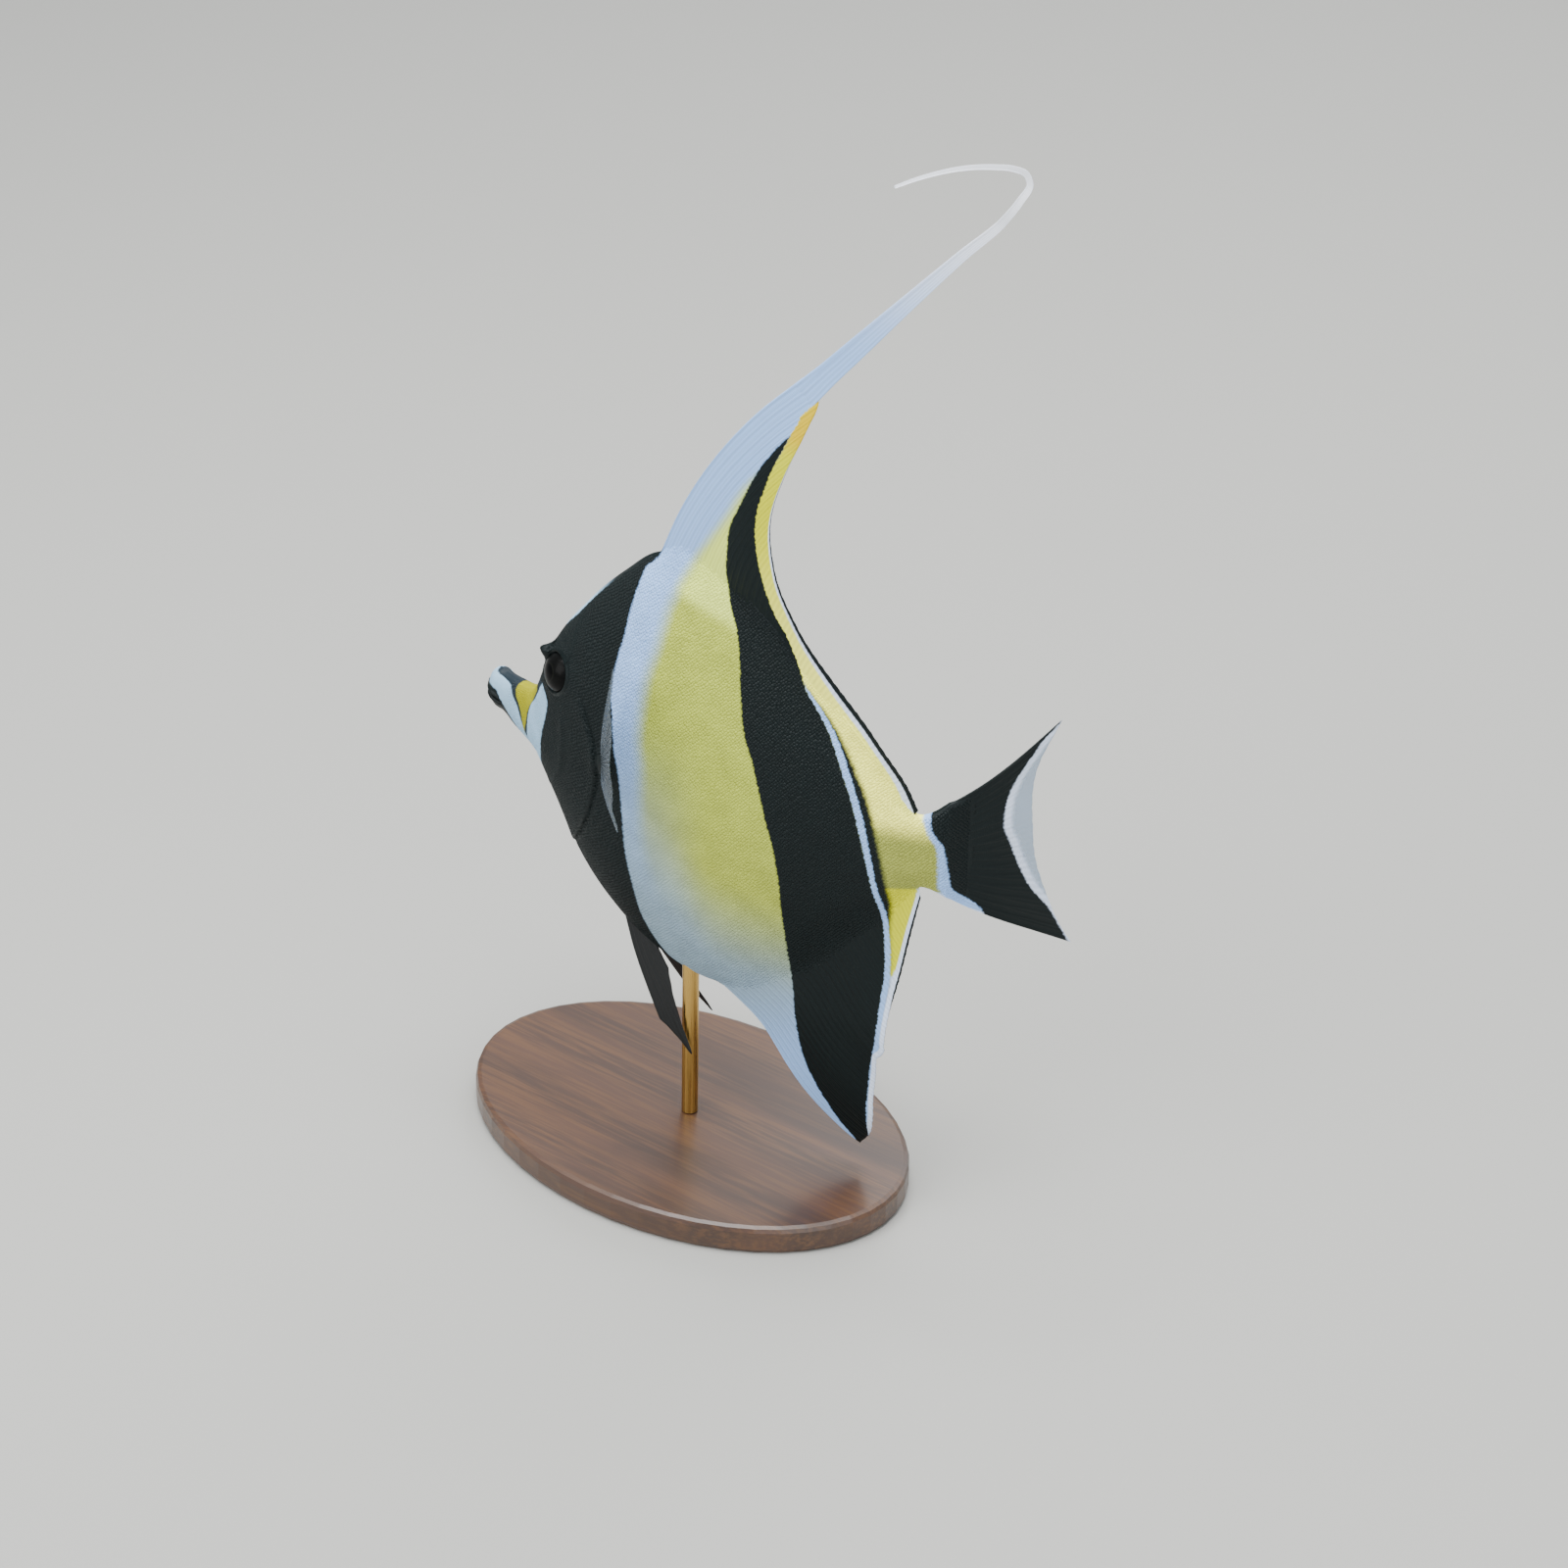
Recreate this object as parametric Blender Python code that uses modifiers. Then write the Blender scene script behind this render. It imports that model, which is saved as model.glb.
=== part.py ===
"""Moorish idol, Zanclus cornutus: a still, life-size model held by a plain display stand.

The shape tables are in hundredths of the fish's standard length (snout tip to the base of the
tail fin). There x runs back from the snout tip, y to the fish's right and z up from its axis.
Each piece is made on the straight fish and then swung sideways into the swimming pose, with the
head turned to the fish's right and the tail fin swept to the same side.
"""
import math

import bmesh
import bpy
import numpy as np
from mathutils import Matrix, Vector

# Driving dimensions, in metres
STANDARD_LENGTH = 0.150
GAP = 0.0003
MEMBRANE_THICKNESS = 0.0006
RAY_HEIGHT = 0.00035
BASE_LENGTH = 0.130
BASE_WIDTH = 0.088
BASE_THICKNESS = 0.008
BASE_CHAMFER = 0.0015
ROD_RADIUS = 0.0022
TIP_CLEARANCE = 0.006

# The same in hundredths of the standard length
HUNDREDTH = STANDARD_LENGTH / 100
SEAM = GAP / HUNDREDTH
MEMBRANE = MEMBRANE_THICKNESS / HUNDREDTH / 2
RIDGE = RAY_HEIGHT / HUNDREDTH
EDGE = 0.25
RIM = 0.36
WELD = 0.0001

# Side outline of the body without its fins: distance from the snout tip, height
TOP_LINE = [(0, -2.1), (0.9, -0.6), (2.2, 0.0), (3.8, -0.2), (7, -0.2), (10.5, 0.1), (13, 1.2), (16, 5.6),
            (20, 14.6), (27, 24.1), (35, 32.4), (43, 38.8), (47, 39.2), (53, 36.8), (60, 33.0), (70, 26.2),
            (80, 18.3), (90, 10.2), (95.3, 6.0), (97.5, 6.9), (100, 8.8)]
BOTTOM_LINE = [(0, -5.2), (0.9, -6.8), (2.2, -7.6), (3.8, -7.8), (7, -9.1), (10.5, -10.1), (14, -11.0),
               (17.5, -12.6), (22, -18.9), (28, -28.2), (36, -35.3), (44, -39.2), (52, -41.0), (58, -40.2),
               (64, -36.6), (72, -29.8), (80, -22.2), (89, -13.0), (95.3, -7.4), (97.5, -7.7), (100, -9.2)]
# Half width, level of the widest line, and how full the section is (a half gives an ellipse)
HALF_WIDTH = [(0, 1.0), (0.9, 2.0), (2.2, 2.5), (3.8, 2.2), (8, 2.5), (13, 3.4), (19, 5.8), (27, 8.0),
              (38, 9.1), (50, 8.8), (64, 7.0), (78, 4.6), (90, 2.7), (100, 1.5)]
WIDEST_LEVEL = [(0, -3.9), (4, -4.3), (13, -4.6), (24, -1.0), (40, -4.0), (60, -4.0), (80, -1.5), (100, -0.4)]
FULLNESS = [(0, 0.5), (13, 0.5), (20, 0.6), (34, 0.72), (50, 0.8), (80, 0.8), (92, 0.62), (100, 0.55)]
# Where a station leans back above the axis and bulges back at it, as the gill cover's edge does
STATION_LEAN = [(16, 0), (35, 4.0), (60, 0)]
STATION_BULGE = [(8, 0), (35, 2.4), (70, 0)]

# Stations of the three lengths of the body, the steps up its flank, and how much they crowd at its rims
HEAD_STATIONS = [0, 0.9, 2.2, 3.8, 5.4, 7.6, 10.5, 13, 15.5, 18, 20.5, 23, 26, 29, 32, 34.5]
TRUNK_STATIONS = [34.5 + SEAM, 38, 42, 46, 50, 54, 58, 62, 66, 70, 74, 78, 82, 86, 90, 93]
STALK_STATIONS = [93 + SEAM, 95, 97, 98.6, 100]
FLANK_STEPS = 15
FLANK_CROWD = 0.35

# Sideways bend of the body, in degrees: where each turn starts, how far it runs, how much it turns
HEAD_TURN = (50, -40, -11.8)
REAR_TURN = (50, 40, 5.3)
TAIL_TURN = (85, 30, 63.4)
# Upright fins lean to the right past the body: start height, reach, lean above and below
FLEX = (38, 30, 2.7, 5.7)
FLEX_STRAIGHT = 37

# Dorsal fin: base along the back, how far its leading edge bows inward by share of its length, and
# the tips of its rays from front to rear
DORSAL_BASE = (43.4, 94.4)
DORSAL_BOW = [(0, 0), (0.25, 2.25), (0.5, 3.0), (0.75, 2.25), (1, 0)]
DORSAL_TIPS = [(0, 68.6, 77.0), (0.07, 72.1, 73.9), (0.13, 70.5, 68.5), (0.2, 67.5, 60.9), (0.3, 64.9, 51.0),
               (0.4, 66.6, 42.1), (0.5, 71.2, 34.7), (0.65, 79.2, 25.6), (0.8, 87.1, 17.9),
               (0.92, 92.7, 11.6), (1, 94.9, 6.9)]
# Anal fin, the same
ANAL_BASE = (56, 95.4)
ANAL_BOW = [(0, 0), (0.12, 1.4), (0.3, 2.4), (0.42, 1.3), (0.53, 0), (0.65, -1.0), (0.85, -1.1),
            (0.95, -0.6), (1, 0)]
ANAL_TIPS = [(0, 83.1, -66.7), (0.08, 85.8, -62.9), (0.16, 86.9, -58.9), (0.26, 87.4, -53.6), (0.38, 88.6, -47.4),
             (0.5, 90.2, -40.8), (0.62, 91.2, -33.8), (0.75, 92.8, -25.8), (0.88, 94.5, -17.0), (1, 95.9, -9.6)]
# Tail fin: heights at its base and the tips of its rays from the lower lobe to the upper
CAUDAL_BASE = (-9.0, 8.6)
CAUDAL_TIPS = [(0, 124.3, -24.0), (0.12, 120.8, -17.8), (0.3, 117.2, -8.4), (0.5, 115.2, 0.4), (0.7, 115.0, 8.6),
               (0.88, 116.8, 15.6), (1, 119.9, 20.6)]
# Streamer of the third dorsal spine: centre line and width, on the median plane before the lean
STREAMER = [(70.6, 75.8, 4.3), (79.0, 85.3, 3.4), (87.1, 94.5, 2.5), (94.9, 103.3, 1.8), (101.8, 110.8, 1.4),
            (104.2, 114.4, 1.25), (105.3, 117.2, 1.15), (104.6, 118.7, 1.1), (102.8, 119.4, 1.0), (100.2, 119.5, 0.9),
            (96.2, 119.1, 0.8), (92.6, 118.1, 0.7), (89.6, 116.9, 0.6), (87.0, 115.6, 0.5)]
STREAMER_CUTS = (0, 0.27, 0.56, 0.72, 1)
# Across the streamer: places of its points and their thickness, the spine at its front first
STREAMER_PLACES = (-0.5, -0.36, -0.12, 0.12, 0.36, 0.5)
STREAMER_THICKNESS = (0, 1.5, 0.9, 1.2, 0.8, 0)
# Where it is narrower than this it thins too, down to this share
STREAMER_FULL = 2.0
THINNEST = 0.62
# Past this share of its length the streamer hooks forward, and leans left as it runs ahead of this x
HOOK_SHARE = 0.6
HOOK_EASE = 0.12
HOOK_START = 106
HOOK_LEAN = 0.5

# Eyes: place (x, z), radii, how deep the ball's middle lies, and the rim of skin round it
EYE_PLACE = (25.0, 11.4)
EYE_RADIUS = 3.6
EYE_DEPTH = 2.3
EYE_SUNK = 0.6
EYE_RIM = 0.42
EYE_RIM_RADIUS = 3.5
EYE_RIM_SUNK = 0.1
# Blunt horn in front of each eye
HORN_PLACE = (21.6, 13.2)
HORN_LENGTH = 3.1
HORN_RADII = (1.3, 0.45)
HORN_SUNK = 0.8
HORN_WAY = (-0.15, 0, 0.1)
# Nostrils: x, z and radius; mouth: depth, height at its front and back, opening
NOSTRILS = [(19.2, 9.6, 0.42), (17.7, 7.9, 0.34)]
MOUTH = (4.3, -3.7, -5.4, 0.34)

# Breast fin: foot of its first and last ray on the flank, the way it points, the angles it spans,
# the length of its rays across it, and how far its edges cup forward
PECTORAL_ROOT = ((38.0, -3.2), (37.8, 3.4))
PECTORAL_WAY = (0.585, 0.62, 0.5)
PECTORAL_SPREAD = (-37, 37)
PECTORAL_LENGTHS = [(0, 14), (0.3, 18.5), (0.7, 23), (1, 21)]
PECTORAL_CUP = 1.4
# Belly fin, the same; the right one is worn shorter
PELVIC_ROOT = ((36.8, -34.8), (43.4, -38.3))
PELVIC_WAY = (12, 3.0, -18)
PELVIC_SPREAD = (-6, 6)
PELVIC_LENGTHS = [(0, 19), (0.25, 21.8), (0.375, 24.3), (0.5, 17.8), (0.625, 12.8), (0.8, 8.2), (1, 4)]
RIGHT_PELVIC_WORN = 0.82


def smooth_curve(points, at):
    """Value at each place of the smooth curve through points (Hermite, tangents from neighbours)."""
    x = np.array([p[0] for p in points], float)
    y = np.array([p[1] for p in points], float)
    slope = np.gradient(y, x)
    at = np.clip(at, x[0], x[-1])
    i = np.clip(np.searchsorted(x, at) - 1, 0, len(x) - 2)
    span = x[i + 1] - x[i]
    t = (at - x[i]) / span
    return (y[i] * (1 + 2 * t) * (1 - t) ** 2 + slope[i] * span * t * (1 - t) ** 2
            + y[i + 1] * t ** 2 * (3 - 2 * t) + slope[i + 1] * span * t ** 2 * (t - 1))


def ease(t):
    """Smooth step from 0 to 1."""
    t = np.clip(t, 0, 1)
    return t * t * (3 - 2 * t)


def fin_lean(z):
    """How far right a point at height z leans: a curve past the body, then straight on."""
    start, reach, above, below = FLEX
    over = np.maximum(np.abs(z) - start, 0) / reach
    limit = FLEX_STRAIGHT / reach
    curve = np.minimum(over, limit) ** 1.5 + 1.5 * limit ** 0.5 * np.maximum(over - limit, 0)
    return np.where(z > 0, above, below) * curve


def heading(x, tail):
    """Direction of the fish's centre line seen from above, in radians."""
    turns = [HEAD_TURN, REAR_TURN] + ([TAIL_TURN] if tail else [])
    return sum(math.radians(turn) * ease((x - start) / run) for start, run, turn in turns)


CENTRE_STEP = 0.25
CENTRE_X = np.arange(-10, 140, CENTRE_STEP)


def centre_line(tail):
    """Plan of the bent centre line: x, y and heading at each CENTRE_X."""
    angle = heading(CENTRE_X, tail)
    middle = int(np.argmin(abs(CENTRE_X - 50)))
    ahead = np.cumsum(np.cos(angle)) * CENTRE_STEP
    aside = np.cumsum(np.sin(angle)) * CENTRE_STEP
    return ahead - ahead[middle] + 50, aside - aside[middle], angle


CENTRE = {True: centre_line(True), False: centre_line(False)}


def swim(points, tail=True):
    """Straight fish, in hundredths, to the posed fish above its base, in metres."""
    x, y, z = np.asarray(points, float).T
    y = y + fin_lean(z)
    ahead, aside, angle = (np.interp(x, CENTRE_X, c) for c in CENTRE[tail])
    posed = np.stack([ahead - y * np.sin(angle) - 50, aside + y * np.cos(angle), z], 1) * HUNDREDTH
    return posed + np.array([0, 0, AXIS_HEIGHT])


LOWEST_TIP = min(z for _, _, z in ANAL_TIPS)
AXIS_HEIGHT = BASE_THICKNESS + TIP_CLEARANCE - LOWEST_TIP * HUNDREDTH


def skin(x, t):
    """Right flank of the straight body at distance x, from t = -1 at the keel to 1 at the back."""
    x, t = np.broadcast_arrays(np.asarray(x, float), np.asarray(t, float))
    top, bottom = smooth_curve(TOP_LINE, x), smooth_curve(BOTTOM_LINE, x)
    level = smooth_curve(WIDEST_LEVEL, x)
    z = level + np.where(t > 0, t * (top - level), t * (level - bottom))
    full = smooth_curve(FULLNESS, x)
    y = RIM + (smooth_curve(HALF_WIDTH, x) - RIM) * np.maximum(1 - abs(t) ** 2.2, 0) ** full
    return np.stack([x, y, z], -1)


def flank_place(x, z):
    """The flank's t at distance x and height z."""
    level = float(smooth_curve(WIDEST_LEVEL, x))
    top, bottom = float(smooth_curve(TOP_LINE, x)), float(smooth_curve(BOTTOM_LINE, x))
    return (z - level) / (top - level if z > level else level - bottom)


def skin_normal(x, t):
    """Outward normal of the right flank."""
    step = 0.2
    along = skin(x + step, t) - skin(x - step, t)
    up = skin(x, min(t + 0.02, 1)) - skin(x, max(t - 0.02, -1))
    normal = np.cross(up, along)
    return normal / np.linalg.norm(normal)


def in_collection(name, hidden=False):
    """The collection of that name, made on first use."""
    if name not in bpy.data.collections:
        made = bpy.data.collections.new(name)
        bpy.context.scene.collection.children.link(made)
        made.hide_render = hidden
    return bpy.data.collections[name]


def new_object(name, mesh, group="moorish_idol"):
    """A new object that holds mesh."""
    made = bpy.data.objects.new(name, mesh)
    in_collection(group).objects.link(made)
    return made


def solid_mesh(name, points, faces):
    """A closed mesh from points and triangles, welded and facing out."""
    shape = bmesh.new()
    corners = [shape.verts.new(p) for p in points]
    for face in faces:
        shape.faces.new([corners[i] for i in face])
    bmesh.ops.remove_doubles(shape, verts=shape.verts, dist=WELD)
    bmesh.ops.recalc_face_normals(shape, faces=shape.faces)
    mesh = bpy.data.meshes.new(name)
    shape.to_mesh(mesh)
    shape.free()
    return mesh


def sheet_faces(rows, columns):
    """Triangles of a grid of rows by columns points."""
    faces = []
    for i in range(rows - 1):
        for j in range(columns - 1):
            a = i * columns + j
            faces += [(a, a + 1, a + columns + 1), (a, a + columns + 1, a + columns)]
    return faces


def applied(thing):
    """Replaces the object's mesh by the mesh its modifiers give, and returns the object."""
    bpy.context.view_layer.update()
    seen = thing.evaluated_get(bpy.context.evaluated_depsgraph_get())
    mesh = bpy.data.meshes.new_from_object(seen)
    thing.modifiers.clear()
    thing.data = mesh
    return thing


def mirrored(name, half, faces):
    """A closed piece from its right half, which is open at the median plane."""
    thing = new_object(name, solid_mesh(name, half, faces))
    mirror = thing.modifiers.new("Mirror", "MIRROR")
    mirror.use_axis = (False, True, False)
    mirror.merge_threshold = WELD
    return face_out(applied(thing))


def face_out(thing):
    """Turns the faces of a closed mesh outward."""
    shape = bmesh.new()
    shape.from_mesh(thing.data)
    bmesh.ops.recalc_face_normals(shape, faces=shape.faces)
    shape.to_mesh(thing.data)
    shape.free()
    return thing


def moved(thing, place):
    """Sends every corner of the object's mesh through place."""
    points = np.array([v.co[:] for v in thing.data.vertices])
    for vertex, point in zip(thing.data.vertices, place(points)):
        vertex.co = point
    return thing


def posed(thing, tail=True):
    """The straight piece in its swimming pose."""
    moved(thing, lambda points: swim(points, tail))
    return face_out(thing)


def largest_shell(thing):
    """Keeps only the largest closed surface of the mesh."""
    shape = bmesh.new()
    shape.from_mesh(thing.data)
    bmesh.ops.remove_doubles(shape, verts=shape.verts, dist=WELD)
    left = set(shape.faces)
    shells = []
    while left:
        shell, edge = set(), [left.pop()]
        while edge:
            face = edge.pop()
            shell.add(face)
            for side in face.edges:
                for other in side.link_faces:
                    if other in left:
                        left.discard(other)
                        edge.append(other)
        shells.append(shell)
    shells.sort(key=lambda s: sum(f.calc_area() for f in s))
    bmesh.ops.delete(shape, geom=[f for s in shells[:-1] for f in s], context="FACES")
    bmesh.ops.triangulate(shape, faces=shape.faces)
    shape.to_mesh(thing.data)
    shape.free()
    return thing


def boolean(thing, pieces, operation):
    """Joins the closed pieces to the object, or cuts them from it, in one step."""
    group = in_collection("cutters", hidden=True)
    for piece in pieces:
        for home in list(piece.users_collection):
            home.objects.unlink(piece)
        group.objects.link(piece)
        piece.hide_render = True
        piece.display_type = "WIRE"
    change = thing.modifiers.new("Boolean", "BOOLEAN")
    change.operation = operation
    change.operand_type = "COLLECTION"
    change.collection = group
    change.solver = "EXACT"
    applied(thing)
    for piece in pieces:
        bpy.data.objects.remove(piece)
    return largest_shell(thing)


def body_piece(name, stations):
    """One length of the body: a loft through its stations, with flat ends."""
    stations = np.array(stations, float)
    even = np.linspace(-1, 1, FLANK_STEPS)
    t = even + FLANK_CROWD * (np.sin(even * math.pi / 2) - even)
    lean = smooth_curve(STATION_LEAN, stations)[:, None]
    bulge = smooth_curve(STATION_BULGE, stations)[:, None]
    x = stations[:, None] + lean * t + bulge * (1 - t ** 2)
    grid = skin(x, t[None, :])
    grid = np.concatenate([grid[:, :1], grid, grid[:, -1:]], 1)
    grid = np.concatenate([grid[:1], grid, grid[-1:]], 0)
    grid[[0, -1], :, 1] = 0
    grid[:, [0, -1], 1] = 0
    return mirrored(name, grid.reshape(-1, 3), sheet_faces(*grid.shape[:2]))


def trunk_edge(x, line):
    """Height of the body's faceted rim, so that a fin's root can follow it."""
    stations = np.array(TRUNK_STATIONS[:-1] + STALK_STATIONS)
    sign = 1 if line is TOP_LINE else -1
    place = stations + sign * smooth_curve(STATION_LEAN, stations)
    return np.interp(x, place, smooth_curve(line, place))


def ray_columns(rays):
    """Places 0 to 1 across a fin with a ray at every second one, and each one's ridge."""
    across = np.linspace(0, 1, 2 * rays - 1)
    ridge = np.where(np.arange(len(across)) % 2 == 0, 1.0, 0.0)
    return across, ridge


def median_fin(name, root, tips, bow, rays, rows, flat_to=0.0):
    """An upright fin: rays from root(s) to the tips, with a tapered free edge."""
    s, ridge = ray_columns(rays)
    r = np.linspace(0, 1, rows)[:, None]
    foot = np.stack([c for c in root(s)], -1)
    tip = np.stack([smooth_curve([(p[0], p[k]) for p in tips], s) for k in (1, 2)], -1)
    line = tip - foot
    length = np.linalg.norm(line, axis=-1, keepdims=True)
    aside = np.stack([-line[:, 1], line[:, 0]], -1) / length
    arch = (smooth_curve(bow, r) * (1 - s) ** 2)[..., None]
    grid = foot[None] + line[None] * r[..., None] + arch * aside[None]
    half = MEMBRANE * (1.25 - 0.4 * r) + RIDGE * ridge * (1 - 0.55 * r)
    grid = np.concatenate([grid[:1], grid, grid[-1:]], 0)
    half = np.concatenate([half[:1] * 0, half, half[-1:] * 0], 0)
    push = np.where(s > flat_to, EDGE, 0)[:, None]
    grid[-1] += line / length * push
    grid = with_side_edges(grid)
    half = np.pad(half, ((0, 0), (1, 1)))
    sheet = np.stack([grid[..., 0], half, grid[..., 1]], -1)
    return mirrored(name, sheet.reshape(-1, 3), sheet_faces(*half.shape))


def with_side_edges(grid):
    """Adds a column a short step outside each side of the grid, closed to a point at the last row."""
    sides = []
    for near, next_in in ((0, 1), (-1, -2)):
        way = grid[:, near] - grid[:, next_in]
        step = way / np.maximum(np.linalg.norm(way, axis=-1, keepdims=True), WELD) * EDGE
        side = grid[:, near] + step
        side[-1] = grid[-1, near]
        sides.append(side[:, None])
    return np.concatenate([sides[0], grid, sides[1]], 1)


def dorsal_root(s):
    """Foot of the dorsal fin on the back, just clear of it."""
    x = DORSAL_BASE[0] + (DORSAL_BASE[1] - DORSAL_BASE[0]) * s
    slope = np.gradient(trunk_edge(x, TOP_LINE), x)
    return x, trunk_edge(x, TOP_LINE) + SEAM * np.sqrt(1 + slope ** 2)


def anal_root(s):
    """Foot of the anal fin on the belly, just clear of it."""
    x = ANAL_BASE[0] + (ANAL_BASE[1] - ANAL_BASE[0]) * s
    slope = np.gradient(trunk_edge(x, BOTTOM_LINE), x)
    return x, trunk_edge(x, BOTTOM_LINE) - SEAM * np.sqrt(1 + slope ** 2)


def caudal_root(s):
    """Foot of the tail fin behind the tail stalk."""
    return np.full_like(s, 100 + SEAM), CAUDAL_BASE[0] + (CAUDAL_BASE[1] - CAUDAL_BASE[0]) * s


def blade(name, centre, normal, half):
    """A thin closed piece: a grid of centre points, thickened both ways, closed at its border."""
    rows, columns = half.shape
    one = (centre + normal * half[..., None]).reshape(-1, 3)
    other = (centre - normal * half[..., None]).reshape(-1, 3)
    faces = sheet_faces(rows, columns)
    back = [(c + len(one), b + len(one), a + len(one)) for a, b, c in faces]
    mesh = solid_mesh(name, np.concatenate([one, other]), faces + back)
    return face_out(new_object(name, mesh))


def unit(v):
    """The vectors at length one."""
    v = np.asarray(v, float)
    return v / np.linalg.norm(v, axis=-1, keepdims=True)


def paired_fin(name, side, root, way, spread, lengths, cup, rays, rows):
    """A fin on the flank: rays fan out from places (x, t) on the skin. Side is 1 on the right."""
    s, ridge = ray_columns(rays)
    r = np.linspace(0, 1, rows)[:, None, None]
    (x0, z0), (x1, z1) = root
    feet, outward = [], []
    for k in s:
        x, z = x0 + (x1 - x0) * k, z0 + (z1 - z0) * k
        t = flank_place(x, z)
        outward.append(skin_normal(x, t))
        feet.append(skin(x, t) + outward[-1] * SEAM)
    feet, outward = np.array(feet), np.array(outward)
    way = unit(way)
    across = feet[-1] - feet[0]
    across = unit(across - way * (across @ way))
    face = np.cross(way, across)
    turn = np.radians(spread[0] + (spread[1] - spread[0]) * s)[:, None]
    ray = np.cos(turn) * way + np.sin(turn) * across
    length = smooth_curve(lengths, s)[:, None]
    bow = (turn / abs(np.radians(spread[0]))) ** 2
    centre = feet + ray * length * r + face * cup * bow * r ** 1.5
    foot_face = unit(np.cross(outward, unit(feet[-1] - feet[0])))
    foot_face *= np.sign(foot_face @ face)[:, None]
    blend = np.minimum(r * 4, 1)
    normal = unit(foot_face * (1 - blend) + face * blend)
    half = (MEMBRANE * (1.2 - 0.4 * r) + RIDGE * ridge[:, None] * (1 - 0.55 * r))[..., 0]
    tip = centre[-1:] + ray * EDGE
    centre = np.concatenate([centre[:1], centre, tip], 0)
    normal = np.concatenate([normal[:1], normal, normal[-1:]], 0)
    half = np.concatenate([half[:1] * 0, half, half[-1:] * 0], 0)
    centre = with_side_edges(centre)
    normal = np.concatenate([normal[:, :1], normal, normal[:, -1:]], 1)
    half = np.pad(half, ((0, 0), (1, 1)))
    flip = np.array([1, side, 1])
    return posed(blade(name, centre * flip, normal * flip, half))


def streamer_path():
    """Places from 0 to 1 along the streamer with its centre, width, the way across it and its face."""
    points = np.array(STREAMER, float)
    steps = np.linalg.norm(np.diff(points[:, :2], axis=0), axis=1)
    reach = np.concatenate([[0], np.cumsum(steps)]) / steps.sum()
    s = np.linspace(0, 1, 400)
    x, z, width = (smooth_curve(list(zip(reach, points[:, k])), s) for k in range(3))
    hook = np.where(s > HOOK_SHARE, np.maximum(HOOK_START - x, 0), 0)
    centre = np.stack([x, -HOOK_LEAN * hook * ease((s - HOOK_SHARE) / HOOK_EASE), z], -1)
    along = unit(np.gradient(centre, axis=0))
    across = unit(np.cross(along, np.array([0, 1.0, 0])))
    return s, centre, width[:, None], across, np.cross(across, along)


def streamer_length(name, start, end, rows):
    """One length of the streamer: a ribbon with the spine along its front and one fine ray."""
    fine, *parts = streamer_path()
    at = np.linspace(start, end, rows)
    centre, width, across, face = (np.stack([np.interp(at, fine, c) for c in part.T], -1) for part in parts)
    centre[0] += unit(centre[1] - centre[0]) * SEAM
    grid = centre[:, None] - across[:, None] * (width * np.array(STREAMER_PLACES))[..., None]
    taper = np.clip(width / STREAMER_FULL, THINNEST, 1)
    half = np.array(STREAMER_THICKNESS) * MEMBRANE * taper
    grid = np.concatenate([grid[:1], grid, grid[-1:]], 0)
    half = np.concatenate([half[:1] * 0, half, half[-1:] * 0], 0)
    face = np.concatenate([face[:1], face, face[-1:]], 0)[:, None]
    return posed(blade(name, grid, np.broadcast_to(face, grid.shape), half), tail=False)


def turned_to(normal):
    """Rotation that brings +Z to the normal."""
    return Vector(normal).to_track_quat("Z", "Y").to_matrix().to_4x4()


def ball(name, centre, normal, radii, steps=20, rings=10):
    """An ellipsoid whose short axis lies along the normal."""
    shape = bmesh.new()
    size = Matrix.Diagonal((*radii, 1))
    bmesh.ops.create_uvsphere(shape, u_segments=steps, v_segments=rings, radius=1,
                              matrix=Matrix.Translation(centre) @ turned_to(normal) @ size)
    bmesh.ops.triangulate(shape, faces=shape.faces)
    mesh = bpy.data.meshes.new(name)
    shape.to_mesh(mesh)
    shape.free()
    return face_out(new_object(name, mesh))


def ring(name, centre, normal, radius, thickness, steps=24, sides=6):
    """A ring that lies round the normal."""
    bpy.ops.mesh.primitive_torus_add(major_segments=steps, minor_segments=sides,
                                     major_radius=radius, minor_radius=thickness)
    made = bpy.context.active_object
    made.name = name
    made.data.transform(Matrix.Translation(centre) @ turned_to(normal))
    return face_out(made)


def cone(name, foot, way, radius, tip_radius, length, sides=10):
    """A blunt cone that stands on foot."""
    shape = bmesh.new()
    place = Matrix.Translation(Vector(foot) + Vector(way).normalized() * length / 2)
    bmesh.ops.create_cone(shape, cap_ends=True, segments=sides, radius1=radius, radius2=tip_radius,
                          depth=length, matrix=place @ turned_to(way))
    mesh = bpy.data.meshes.new(name)
    shape.to_mesh(mesh)
    shape.free()
    return face_out(new_object(name, mesh))


def on_skin(place, side, sink=0.0):
    """Point and outward normal on one flank, sunk by some depth."""
    t = flank_place(*place)
    flip = np.array([1, side, 1])
    normal = skin_normal(place[0], t)
    return (skin(place[0], t) - normal * sink) * flip, normal * flip


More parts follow.
